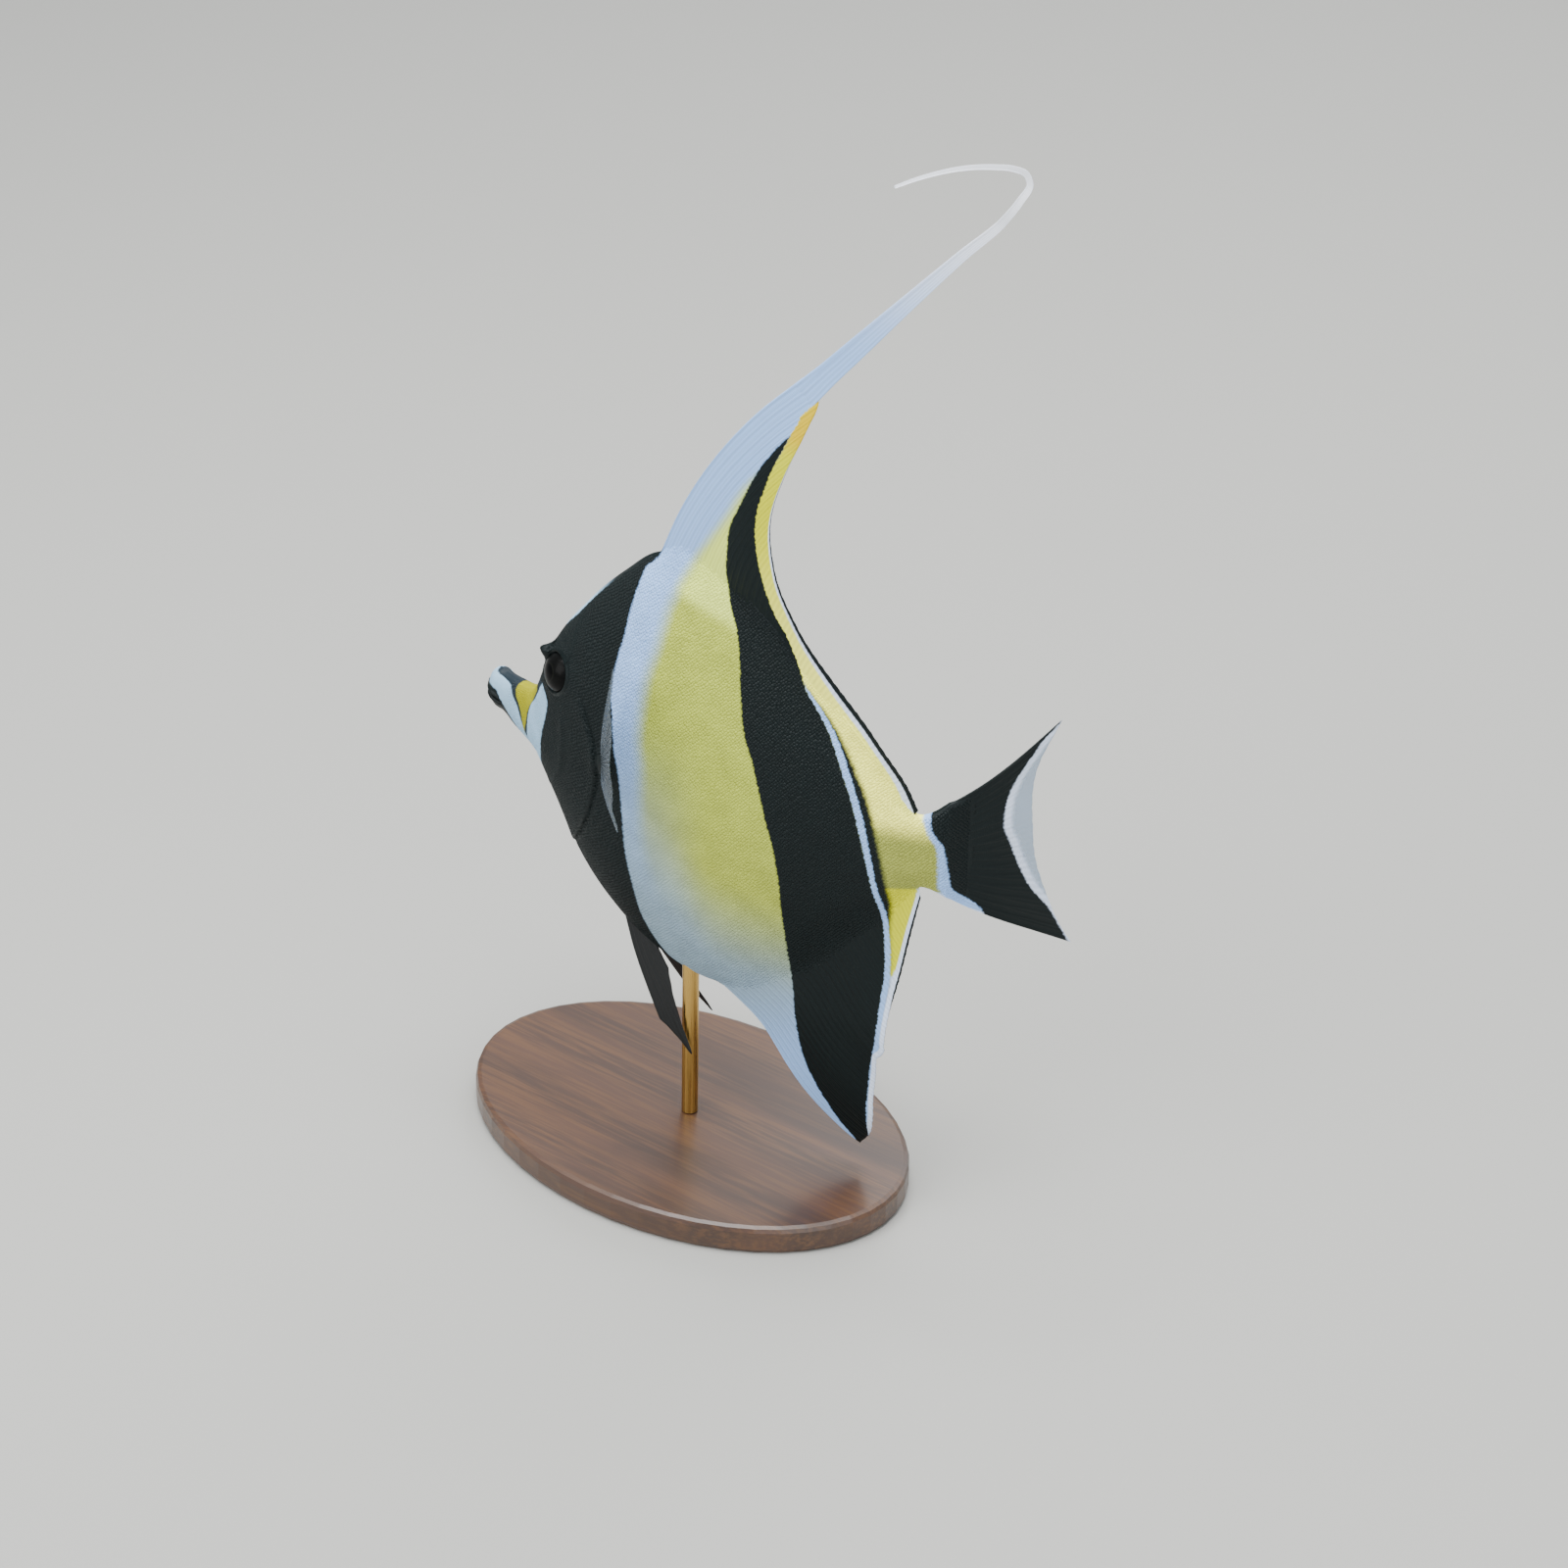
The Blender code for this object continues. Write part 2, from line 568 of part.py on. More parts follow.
def head():
    """Head with lips, mouth line, nostrils, brow horns and rims round the eye sockets."""
    piece = body_piece("head", HEAD_STATIONS)
    added, cut = [], []
    for side in (-1, 1):
        centre, normal = on_skin(EYE_PLACE, side, EYE_RIM_SUNK)
        added.append(ring("eye_rim", centre, normal, EYE_RIM_RADIUS, EYE_RIM))
        foot, normal = on_skin(HORN_PLACE, side, HORN_SUNK)
        added.append(cone("brow_horn", foot, normal + np.array(HORN_WAY), *HORN_RADII, HORN_LENGTH))
        centre, normal = on_skin(EYE_PLACE, side, EYE_SUNK)
        radii = (EYE_RADIUS + SEAM, EYE_RADIUS + SEAM, EYE_DEPTH + SEAM)
        cut.append(ball("eye_socket", centre, normal, radii))
        for x, z, radius in NOSTRILS:
            centre, normal = on_skin((x, z), side)
            cut.append(ball("nostril", centre, normal, (radius, radius, radius * 1.3), 10, 6))
    boolean(piece, added, "UNION")
    depth, front, back, height = MOUTH
    slit = bmesh.new()
    bmesh.ops.create_cube(slit, size=1, matrix=Matrix.Diagonal((depth + 2, 12, height, 1)))
    mesh = bpy.data.meshes.new("mouth_slit")
    slit.to_mesh(mesh)
    slit.free()
    cutter = new_object("mouth_slit", mesh)
    tilt = Matrix.Rotation(math.atan2(front - back, depth), 4, "Y")
    slope = (back - front) / depth
    mesh.transform(Matrix.Translation((depth / 2 - 1, 0, front + slope * (depth / 2 - 1))) @ tilt)
    cut.append(cutter)
    boolean(piece, cut, "DIFFERENCE")
    return [posed(piece)]


def trunk():
    """Trunk from the gill cover's edge to the tail stalk."""
    return [posed(body_piece("trunk", TRUNK_STATIONS))]


def tail_stalk():
    """Short stalk that carries the tail fin."""
    return [posed(body_piece("tail_stalk", STALK_STATIONS))]


def eyes():
    """Both eyeballs, flattened domes seated in their sockets."""
    made = []
    for side, name in ((-1, "eye_left"), (1, "eye_right")):
        centre, normal = on_skin(EYE_PLACE, side, EYE_SUNK)
        made.append(posed(ball(name, centre, normal, (EYE_RADIUS, EYE_RADIUS, EYE_DEPTH))))
    return made


def upright_fins():
    """Dorsal, anal and tail fins with their rays as ridges."""
    return [
        posed(median_fin("dorsal_fin", dorsal_root, DORSAL_TIPS, DORSAL_BOW, 16, 9, flat_to=0.07)),
        posed(median_fin("anal_fin", anal_root, ANAL_TIPS, ANAL_BOW, 14, 8)),
        posed(median_fin("tail_fin", caudal_root, CAUDAL_TIPS, [(0, 0), (1, 0)], 13, 7)),
    ]


def streamer():
    """The long streamer of the dorsal fin, in four lengths."""
    names = ("dorsal_streamer_lower", "dorsal_streamer_upper", "dorsal_streamer_bend", "dorsal_streamer_tip")
    rows = (8, 8, 12, 12)
    return [streamer_length(n, a, b, k)
            for n, a, b, k in zip(names, STREAMER_CUTS, STREAMER_CUTS[1:], rows)]


def pectoral_fins():
    """Breast fins, fanned out and back from the flanks in a stroke."""
    return [paired_fin(name, side, PECTORAL_ROOT, PECTORAL_WAY, PECTORAL_SPREAD, PECTORAL_LENGTHS,
                       PECTORAL_CUP, rays=8, rows=7)
            for side, name in ((-1, "pectoral_fin_left"), (1, "pectoral_fin_right"))]


def pelvic_fins():
    """Narrow pointed fins below the breast."""
    made = []
    for side, name, worn in ((-1, "pelvic_fin_left", 1), (1, "pelvic_fin_right", RIGHT_PELVIC_WORN)):
        lengths = [(s, length * worn) for s, length in PELVIC_LENGTHS]
        made.append(paired_fin(name, side, PELVIC_ROOT, PELVIC_WAY, PELVIC_SPREAD, lengths, 0, rays=5, rows=7))
    return made


def stand():
    """Flat base and the rod that carries the belly, its top shaped to the keel."""
    bpy.ops.mesh.primitive_cylinder_add(vertices=48, radius=0.5, depth=BASE_THICKNESS,
                                        location=(0, 0, BASE_THICKNESS / 2))
    base = bpy.context.active_object
    base.name = "stand_base"
    base.data.transform(Matrix.Translation(base.location) @ Matrix.Diagonal((BASE_LENGTH, BASE_WIDTH, 1, 1)))
    base.location = (0, 0, 0)
    edge = base.modifiers.new("Bevel", "BEVEL")
    edge.width = BASE_CHAMFER
    edge.segments = 2
    edge.limit_method = "ANGLE"
    belly = AXIS_HEIGHT + float(smooth_curve(BOTTOM_LINE, 50)) * HUNDREDTH
    bottom = BASE_THICKNESS + GAP
    top = belly + ROD_RADIUS
    bpy.ops.mesh.primitive_cylinder_add(vertices=24, radius=ROD_RADIUS, depth=top - bottom,
                                        location=(0, 0, (top + bottom) / 2))
    rod = bpy.context.active_object
    rod.name = "stand_rod"
    rod.data.transform(Matrix.Translation(rod.location))
    rod.location = (0, 0, 0)
    saddle = posed(body_piece("saddle", [40, 45, 50, 55, 60]))
    swell(saddle, GAP)
    return [base, boolean(rod, [saddle], "DIFFERENCE")]


def swell(thing, amount):
    """Moves every corner outward along its normal."""
    for vertex, normal in zip(thing.data.vertices, [v.normal.copy() for v in thing.data.vertices]):
        vertex.co += normal * amount


# Colour in linear values, roughness and metallic of each piece's material
FINISHES = {
    "head": ((0.012, 0.014, 0.016), 0.45, 0),
    "trunk": ((0.55, 0.50, 0.16), 0.45, 0),
    "tail_stalk": ((0.70, 0.62, 0.20), 0.45, 0),
    "eye": ((0.02, 0.015, 0.012), 0.08, 0),
    "dorsal": ((0.62, 0.64, 0.68), 0.5, 0),
    "anal_fin": ((0.012, 0.014, 0.016), 0.5, 0),
    "tail_fin": ((0.015, 0.016, 0.018), 0.5, 0),
    "pectoral": ((0.30, 0.32, 0.34), 0.4, 0),
    "pelvic": ((0.012, 0.014, 0.016), 0.5, 0),
    "stand_base": ((0.10, 0.055, 0.03), 0.35, 0),
    "stand_rod": ((0.62, 0.46, 0.20), 0.3, 1),
}


def finish(thing):
    """Gives the piece a material of its own and smooth shading."""
    colour, roughness, metallic = next(v for k, v in FINISHES.items() if thing.name.startswith(k))
    material = bpy.data.materials.new(thing.name)
    material.use_nodes = True
    shader = material.node_tree.nodes["Principled BSDF"]
    shader.inputs["Base Color"].default_value = (*colour, 1)
    shader.inputs["Roughness"].default_value = roughness
    shader.inputs["Metallic"].default_value = metallic
    thing.data.materials.clear()
    thing.data.materials.append(material)
    thing.data.shade_smooth()
    thing.data.set_sharp_from_angle(angle=math.radians(50))
    for home in list(thing.users_collection):
        home.objects.unlink(thing)
    in_collection("moorish_idol").objects.link(thing)


def main():
    """Builds every piece of the model."""
    for thing in list(bpy.data.objects):
        bpy.data.objects.remove(thing)
    pieces = head() + eyes() + trunk() + tail_stalk() + upright_fins() + streamer()
    pieces += pectoral_fins() + pelvic_fins() + stand()
    for piece in pieces:
        finish(piece)


main()
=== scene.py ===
"""Looks of the moorish idol: skin, scales, fins, eyes, stand finishes and a plain studio.

Shapes are in hundredths of the standard length on the straight fish, as in the part: x back from
the snout tip, y to the fish's right, z up from its axis. swim() puts them in the swimming pose.
"""

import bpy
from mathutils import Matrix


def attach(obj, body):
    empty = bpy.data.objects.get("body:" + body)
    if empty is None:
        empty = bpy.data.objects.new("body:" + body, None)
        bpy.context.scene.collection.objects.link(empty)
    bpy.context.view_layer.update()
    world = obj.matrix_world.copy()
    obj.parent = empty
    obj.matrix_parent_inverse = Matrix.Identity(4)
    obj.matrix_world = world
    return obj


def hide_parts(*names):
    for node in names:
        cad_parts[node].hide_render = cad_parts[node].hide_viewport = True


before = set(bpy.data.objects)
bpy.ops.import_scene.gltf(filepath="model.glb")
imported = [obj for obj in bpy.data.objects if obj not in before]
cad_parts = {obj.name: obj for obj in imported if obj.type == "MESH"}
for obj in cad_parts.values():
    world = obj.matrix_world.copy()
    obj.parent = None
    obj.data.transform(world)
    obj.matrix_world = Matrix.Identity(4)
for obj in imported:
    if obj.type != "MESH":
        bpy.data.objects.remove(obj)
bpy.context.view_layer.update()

import math

import bpy
import numpy as np
from bpy.props import FloatProperty, FloatVectorProperty, PointerProperty
from mathutils import Matrix, Vector

bl_info = {
    "name": "Moorish idol looks",
    "version": (1, 0, 0),
    "blender": (4, 5, 0),
    "location": "3D View > Sidebar > Moorish idol",
    "description": "Skin, scales, fins, eyes, stand and studio of a life-size moorish idol",
    "category": "Object",
}

# The body's shape, the same as the solids'
HUNDREDTH = 0.0015
RIM = 0.36
TOP_LINE = [(0, -2.1), (0.9, -0.6), (2.2, 0.0), (3.8, -0.2), (7, -0.2), (10.5, 0.1), (13, 1.2), (16, 5.6),
            (20, 14.6), (27, 24.1), (35, 32.4), (43, 38.8), (47, 39.2), (53, 36.8), (60, 33.0), (70, 26.2),
            (80, 18.3), (90, 10.2), (95.3, 6.0), (97.5, 6.9), (100, 8.8)]
BOTTOM_LINE = [(0, -5.2), (0.9, -6.8), (2.2, -7.6), (3.8, -7.8), (7, -9.1), (10.5, -10.1), (14, -11.0),
               (17.5, -12.6), (22, -18.9), (28, -28.2), (36, -35.3), (44, -39.2), (52, -41.0), (58, -40.2),
               (64, -36.6), (72, -29.8), (80, -22.2), (89, -13.0), (95.3, -7.4), (97.5, -7.7), (100, -9.2)]
HALF_WIDTH = [(0, 1.0), (0.9, 2.0), (2.2, 2.5), (3.8, 2.2), (8, 2.5), (13, 3.4), (19, 5.8), (27, 8.0),
              (38, 9.1), (50, 8.8), (64, 7.0), (78, 4.6), (90, 2.7), (100, 1.5)]
WIDEST_LEVEL = [(0, -3.9), (4, -4.3), (13, -4.6), (24, -1.0), (40, -4.0), (60, -4.0), (80, -1.5),
                (100, -0.4)]
FULLNESS = [(0, 0.5), (13, 0.5), (20, 0.6), (34, 0.72), (50, 0.8), (80, 0.8), (92, 0.62), (100, 0.55)]
HEAD_TURN = (50, -40, -11.8)
REAR_TURN = (50, 40, 5.3)
TAIL_TURN = (85, 30, 63.4)
FLEX = (38, 30, 2.7, 5.7)
FLEX_STRAIGHT = 37
AXIS_HEIGHT = 0.11405

# The fins. Tips and lengths start with the share of the fin's base; a streamer point ends with its width
SIDES = ((-1, "left"), (1, "right"))
STALK_END = 100.0
DORSAL_RAYS = 41
STREAMER_SHARE = 0.07
# The streamer's points count as this far in from an edge, so that no hem shows on it
STREAMER_INWARD = 30
DORSAL_BASE = (43.4, 94.4)
DORSAL_BOW = [(0, 0), (0.25, 2.25), (0.5, 3.0), (0.75, 2.25), (1, 0)]
DORSAL_TIPS = [(0, 68.6, 77.0), (0.07, 72.1, 73.9), (0.13, 70.5, 68.5), (0.2, 67.5, 60.9),
               (0.3, 64.9, 51.0), (0.4, 66.6, 42.1), (0.5, 71.2, 34.7), (0.65, 79.2, 25.6),
               (0.8, 87.1, 17.9), (0.92, 92.7, 11.6), (1, 94.9, 6.9)]
ANAL_BASE = (56, 95.4)
ANAL_BOW = [(0, 0), (0.12, 1.4), (0.3, 2.4), (0.42, 1.3), (0.53, 0), (0.65, -1.0), (0.85, -1.1),
            (0.95, -0.6), (1, 0)]
ANAL_TIPS = [(0, 83.1, -66.7), (0.08, 85.8, -62.9), (0.16, 86.9, -58.9), (0.26, 87.4, -53.6),
             (0.38, 88.3, -47.4), (0.43, 88.6, -45.0), (0.445, 88.8, -44.2), (0.465, 90.1, -42.6),
             (0.5, 90.3, -40.8), (0.62, 91.1, -33.8), (0.75, 92.8, -25.8), (0.88, 94.5, -17.0),
             (1, 95.9, -9.6)]
CAUDAL_BASE = (-9.0, 8.6)
CAUDAL_TIPS = [(0, 124.3, -24.0), (0.12, 120.8, -17.8), (0.3, 117.2, -8.4), (0.5, 115.2, 0.4),
               (0.7, 115.0, 8.6), (0.88, 116.8, 15.6), (1, 119.9, 20.6)]
STREAMER = [(70.6, 75.8, 4.3), (79.0, 85.3, 3.4), (87.1, 94.5, 2.5), (94.9, 103.3, 1.8),
            (101.8, 110.8, 1.4), (104.2, 114.4, 1.25), (105.3, 117.2, 1.15), (104.6, 118.7, 1.1),
            (102.8, 119.4, 1.0), (100.2, 119.5, 0.9), (96.2, 119.1, 0.8), (92.6, 118.1, 0.7),
            (89.6, 116.9, 0.6), (87.0, 115.6, 0.5)]
HOOK_SHARE = 0.6
HOOK_EASE = 0.12
HOOK_START = 106
HOOK_LEAN = 0.5
# The face and the seats of the breast fins, by distance and height
EYE_PLACE = (25.0, 11.4)
EYE_RADIUS = 3.6
EYE_DEPTH = 2.3
EYE_SUNK = 0.6
CORNEA = 0.14
BROW_PLACE = (23.2, 12.4)
HORN_PLACE = (21.6, 13.2)
BREAST_SEAT = (37.9, 0.1)
NOSTRILS = [(19.2, 9.6, 0.42), (17.7, 7.9, 0.34)]
MOUTH = (4.3, -3.7, -5.4)
PECTORAL_ROOT = ((38.0, -3.2), (37.8, 3.4))
PECTORAL_WAY = (0.585, 0.62, 0.5)
PECTORAL_SPREAD = (-37, 37)
PECTORAL_LENGTHS = [(0, 14), (0.3, 18.5), (0.7, 23), (1, 21)]
PECTORAL_CUP = 1.4
PELVIC_ROOT = ((36.8, -34.8), (43.4, -38.3))
PELVIC_WAY = (12, 3.0, -18)
PELVIC_SPREAD = (-6, 6)
PELVIC_LENGTHS = [(0, 19), (0.25, 21.8), (0.375, 24.3), (0.5, 17.8), (0.625, 12.8), (0.8, 8.2), (1, 4)]
RIGHT_PELVIC_WORN = 0.82

# Edges of the markings on the flank and upright fins: height, and the distance x at that height
BLACK_ONE_REAR = [(-40, 46.8), (-33.2, 44.4), (-28.4, 43.4), (-22.2, 43.0), (-16, 42.4), (-9, 42.2),
                  (-0.9, 41.5), (4.5, 40.3), (10, 39.7), (14.6, 39.0), (20.2, 39.5), (24.4, 40.2),
                  (29, 40.5), (32.8, 40.8), (36, 41.3), (40.3, 43.6), (42, 43.4), (44, 38)]
YELLOW_FRONT = [(-22, 48), (-18, 47.2), (-11.8, 46.2), (-5.3, 46.0), (2.8, 45.9), (8, 45.2), (14.6, 45.5),
                (19.3, 45.9), (24.3, 47.0), (28.3, 47.5), (32, 47.9), (35.8, 49.2), (40, 50.8),
                (44.3, 53.4), (50.3, 57.1), (55.2, 59.8), (62, 66), (70, 76)]
STREAMER_WHITE_REAR = [(60, 60), (65.7, 66), (67.2, 67.2), (70.3, 68.9), (72.8, 71), (76, 74)]
BLACK_TWO_FRONT = [(-66, 82.3), (-62.8, 79.5), (-59, 77.2), (-54.6, 75), (-49.4, 73.4), (-43, 72.6),
                   (-37, 72.2), (-31, 71.6), (-21, 72.1), (-14, 72.1), (-6.8, 71.4), (-0.5, 69.8),
                   (9.3, 67), (14.6, 64.8), (19.7, 63.5), (26.5, 61.9), (31, 60.2), (34.3, 58.4),
                   (37.3, 57.4), (41, 56.8), (46.8, 56.9), (50.7, 58.1), (55, 59.9), (59.4, 61.9),
                   (63, 64.2), (65.7, 66.3), (67.2, 67.8), (70, 74)]
BLACK_TWO_REAR = [(-67, 85.2), (-61.8, 85.5), (-56.8, 85.9), (-51.8, 86.6), (-47.1, 87.2), (-44.1, 87.9),
                  (-40, 88.7), (-32.7, 89.4), (-25, 90.0), (-17.7, 89.6), (-10.9, 88.6), (-4.9, 87.7),
                  (0.9, 86.4), (6, 84.8), (11.4, 82.3), (16.9, 79.2), (20.7, 76.3), (23.9, 73.6),
                  (28, 71.6), (31.9, 69.5), (35.3, 66.7), (39.4, 64.6), (42.6, 63.4), (45.8, 62.6),
                  (49.2, 62.2), (52.7, 62.5), (56.5, 63.5), (60, 64.6), (63.2, 66.0), (67.2, 67.7),
                  (70, 69)]
ANAL_YELLOW_FRONT = [(-28, 93), (-26.4, 91.0), (-23, 90.5), (-18.4, 90.4), (-14.4, 90.2), (-9.1, 90),
                     (-7, 90)]
ANAL_YELLOW_REAR = [(-28, 90), (-26, 91.5), (-19.9, 93.4), (-13.8, 94.5), (-8.3, 95.3), (-7, 95.5)]
TAIL_WHITE_START = [(-14, 111), (-12, 105.1), (-8.7, 99.8), (-5.8, 98.6), (-2, 98.6), (0.3, 98.4),
                    (1.8, 97.9), (2.7, 97.3), (4.2, 96.6), (5.6, 96.0), (8, 95.4)]
TAIL_BLACK_START = [(-13.6, 106.8), (-11.8, 105.9), (-9.4, 103.4), (-8.2, 101.9), (-7.1, 100.9),
                    (-4, 100.3), (-1.6, 99.9), (0.3, 99.6), (1.6, 99.2), (3, 98.2), (4.9, 97.3),
                    (6.5, 97.2), (8, 97)]
TAIL_BLACK_END = [(-24, 124), (-15.3, 119.1), (-9.4, 114.9), (-5.8, 113.2), (-0.4, 111.0), (4.2, 109.5),
                  (7.5, 109.9), (10.1, 110.8), (12.4, 112.1), (15.5, 114.4), (18.2, 116.7), (19.5, 118.5),
                  (21, 120.5)]
# Edges on the face, the same way round
SNOUT_WHITE_END = [(-8, 13), (-7.6, 12.6), (-5.9, 11.6), (-3.7, 9.6), (-2.3, 7.9), (-1.0, 6.6), (-0.7, 4.8),
                   (-0.4, 2.9), (0.5, 1)]
SADDLE_START = [(-7.4, 12.1), (-5.2, 11.7), (-3.2, 10.3), (-1.7, 8.8), (-0.6, 8.3), (2, 8.3)]
SADDLE_END = [(-7.4, 12.2), (-5.1, 13.3), (-1.8, 14.3), (1.2, 16.3), (6, 19.3), (7, 20)]
CHEEK_WHITE_START = [(-9.5, 12.6), (-8, 13.2), (-4.6, 14.1), (-1.5, 14.8), (3.2, 18.3), (6.4, 20.1),
                     (8, 21)]
CHEEK_WHITE_END = [(-16, 16.6), (-13, 17.9), (-10.5, 19.2), (-8, 20.2), (-6.1, 20.9), (-3.9, 21.2),
                   (-1.6, 21.7), (2.5, 22.9), (4.4, 23.2), (5.6, 22.6), (6.5, 21.4), (7.2, 20)]
# Edges that run lengthwise: distance, and the height there
CHIN_LINE = [(0, -2.4), (3.2, -3.2), (4.7, -5.1), (8, -7.6), (10, -9.4), (12, -13), (14, -20)]
YELLOW_LOW = [(44, -14), (52, -18), (60, -24.5), (69, -27), (76, -28)]
ANAL_WHITE_TOP = [(44, -46), (52, -48), (58, -48), (64, -46), (72, -42), (80, -36)]
CREAM_LOW = [(45, 35.8), (48.7, 34.6), (52.7, 33.1), (58.2, 31.6), (60, 31), (75, 26)]
# Top edge of the painted shade on the tail stalk's sides, below its lit top
STALK_SHADE_TOP = [(80, 6.0), (84.8, 5.4), (86.7, 4.4), (88.4, 3.4), (92, 3.4), (96.4, 3.3), (104, 3.3)]
# Widths: of the pale lines on forehead (by distance) and throat, and of the lines behind the second band
# (by height)
RIDGE_WIDTH = ((22, 26, 32), (0.7, 1.3, 0.7))
KEEL_WIDTH = 0.4
WHITE_LINE_WIDTH = [(-20, 1.0), (-10, 0.9), (-4.6, 1.0), (1.3, 1.2), (6.4, 1.35), (11.7, 1.3), (17.7, 1.1),
                    (22, 0.8), (27, 0), (30, 0)]
DARK_LINE_WIDTH = [(-22, 0), (-19, 0.1), (-14, 0.9), (-9.7, 1.6), (-4.7, 1.7), (1.7, 1.7), (7.5, 1.7),
                   (11.9, 1.3), (16.4, 0.8), (20, 0.5), (24, 0)]
# Hem of the dorsal and anal fins' rear edges: height, and how far in from the edge it reaches there
HEM_DARK_WIDTH = [(-70, 0), (-36, 0), (-28, 0.35), (-10, 0.4), (8, 0.5), (20, 0.65), (31, 0.5), (45, 0.25),
                  (60, 0.1)]
HEM_WHITE_WIDTH = [(-70, 0.6), (-58, 0.9), (-36, 0.9), (-26, 1.15), (-10, 1.15), (8, 1.4), (20, 1.35),
                   (31, 1.0), (45, 0.6), (60, 0.3), (62, 0.2)]


def linear(colour):
    """An sRGB hex colour as linear red, green and blue."""
    parts = [int(colour[i:i + 2], 16) / 255 for i in (1, 3, 5)]
    return tuple(c / 12.92 if c <= 0.04045 else ((c + 0.055) / 1.055) ** 2.4 for c in parts)


def smooth_curve(points, at):
    """Value at each place of the smooth curve through points (Hermite, tangents from neighbours)."""
    x = np.array([p[0] for p in points], float)
    y = np.array([p[1] for p in points], float)
    slope = np.gradient(y, x)
    at = np.clip(at, x[0], x[-1])
    i = np.clip(np.searchsorted(x, at) - 1, 0, len(x) - 2)
    span = x[i + 1] - x[i]
    t = (at - x[i]) / span
    return (y[i] * (1 + 2 * t) * (1 - t) ** 2 + slope[i] * span * t * (1 - t) ** 2
            + y[i + 1] * t ** 2 * (3 - 2 * t) + slope[i + 1] * span * t ** 2 * (t - 1))


def ease(t):
    """Smooth step from 0 to 1."""
    t = np.clip(t, 0, 1)
    return t * t * (3 - 2 * t)


def bell(distance, width):
    """Smooth bump, 1 in its middle."""
    return np.exp(-(distance / width) ** 2)


def unit(v):
    """The vectors at length one."""
    v = np.asarray(v, float)
    return v / np.maximum(np.linalg.norm(v, axis=-1, keepdims=True), 1e-9)


def fin_lean(z):
    """How far right a point at height z leans: a curve past the body, then straight on."""
    start, reach, above, below = FLEX
    over = np.maximum(np.abs(z) - start, 0) / reach
    limit = FLEX_STRAIGHT / reach
    curve = np.minimum(over, limit) ** 1.5 + 1.5 * limit ** 0.5 * np.maximum(over - limit, 0)
    return np.where(z > 0, above, below) * curve


CENTRE_STEP = 0.25
CENTRE_X = np.arange(-10, 140, CENTRE_STEP)


def centre_line(tail):
    """Plan of the bent centre line: x, y and heading at each CENTRE_X."""
    turns = [HEAD_TURN, REAR_TURN] + ([TAIL_TURN] if tail else [])
    angle = sum(math.radians(turn) * ease((CENTRE_X - start) / run) for start, run, turn in turns)
    middle = int(np.argmin(abs(CENTRE_X - 50)))
    ahead = np.cumsum(np.cos(angle)) * CENTRE_STEP
    aside = np.cumsum(np.sin(angle)) * CENTRE_STEP
    return ahead - ahead[middle] + 50, aside - aside[middle], angle


CENTRE = {True: centre_line(True), False: centre_line(False)}


def swim(points, tail=True):
    """Straight fish, in hundredths, to the posed fish above its base, in metres."""
    x, y, z = np.asarray(points, float).reshape(-1, 3).T
    y = y + fin_lean(z)
    ahead, aside, angle = (np.interp(x, CENTRE_X, c) for c in CENTRE[tail])
    posed = np.stack([ahead - y * np.sin(angle) - 50, aside + y * np.cos(angle), z], 1) * HUNDREDTH
    return posed + np.array([0, 0, AXIS_HEIGHT])


def skin(x, t):
    """Right flank of the straight body at distance x, from t = -1 at the keel to 1 at the back."""
    x, t = np.broadcast_arrays(np.asarray(x, float), np.asarray(t, float))
    top, bottom = smooth_curve(TOP_LINE, x), smooth_curve(BOTTOM_LINE, x)
    level = smooth_curve(WIDEST_LEVEL, x)
    z = level + np.where(t > 0, t * (top - level), t * (level - bottom))
    full = smooth_curve(FULLNESS, x)
    y = RIM + (smooth_curve(HALF_WIDTH, x) - RIM) * np.maximum(1 - abs(t) ** 2.2, 0) ** full
    return np.stack([x, y, z], -1)


def flank_place(x, z):
    """The flank's t at distance x and height z."""
    level, top, bottom = (smooth_curve(line, x) for line in (WIDEST_LEVEL, TOP_LINE, BOTTOM_LINE))
    return np.where(z > level, (z - level) / (top - level), (z - level) / (level - bottom))


def skin_normal(x, t):
    """Outward normal of the right flank."""
    along = skin(x + 0.2, t) - skin(x - 0.2, t)
    up = skin(x, np.minimum(t + 0.02, 1)) - skin(x, np.maximum(t - 0.02, -1))
    return unit(np.cross(up, along))


def on_flank(place, side):
    """The point of one flank at a place's distance and height."""
    x, z = place[:2]
    return skin(x, flank_place(x, z)) * np.array([1, side, 1])


def grid_normal(grid):
    """Normals of a grid of points."""
    return unit(np.cross(np.gradient(grid, axis=1), np.gradient(grid, axis=0)))


def quads(rows, columns, wrap=False):
    """Quads of a grid of rows by columns points, closed round its columns if wrapped."""
    i = np.arange(rows - 1)[:, None] * columns
    j = np.arange(columns if wrap else columns - 1)[None]
    k = (j + 1) % columns
    return np.stack([i + j, i + k, i + columns + k, i + columns + j], -1).reshape(-1, 4)


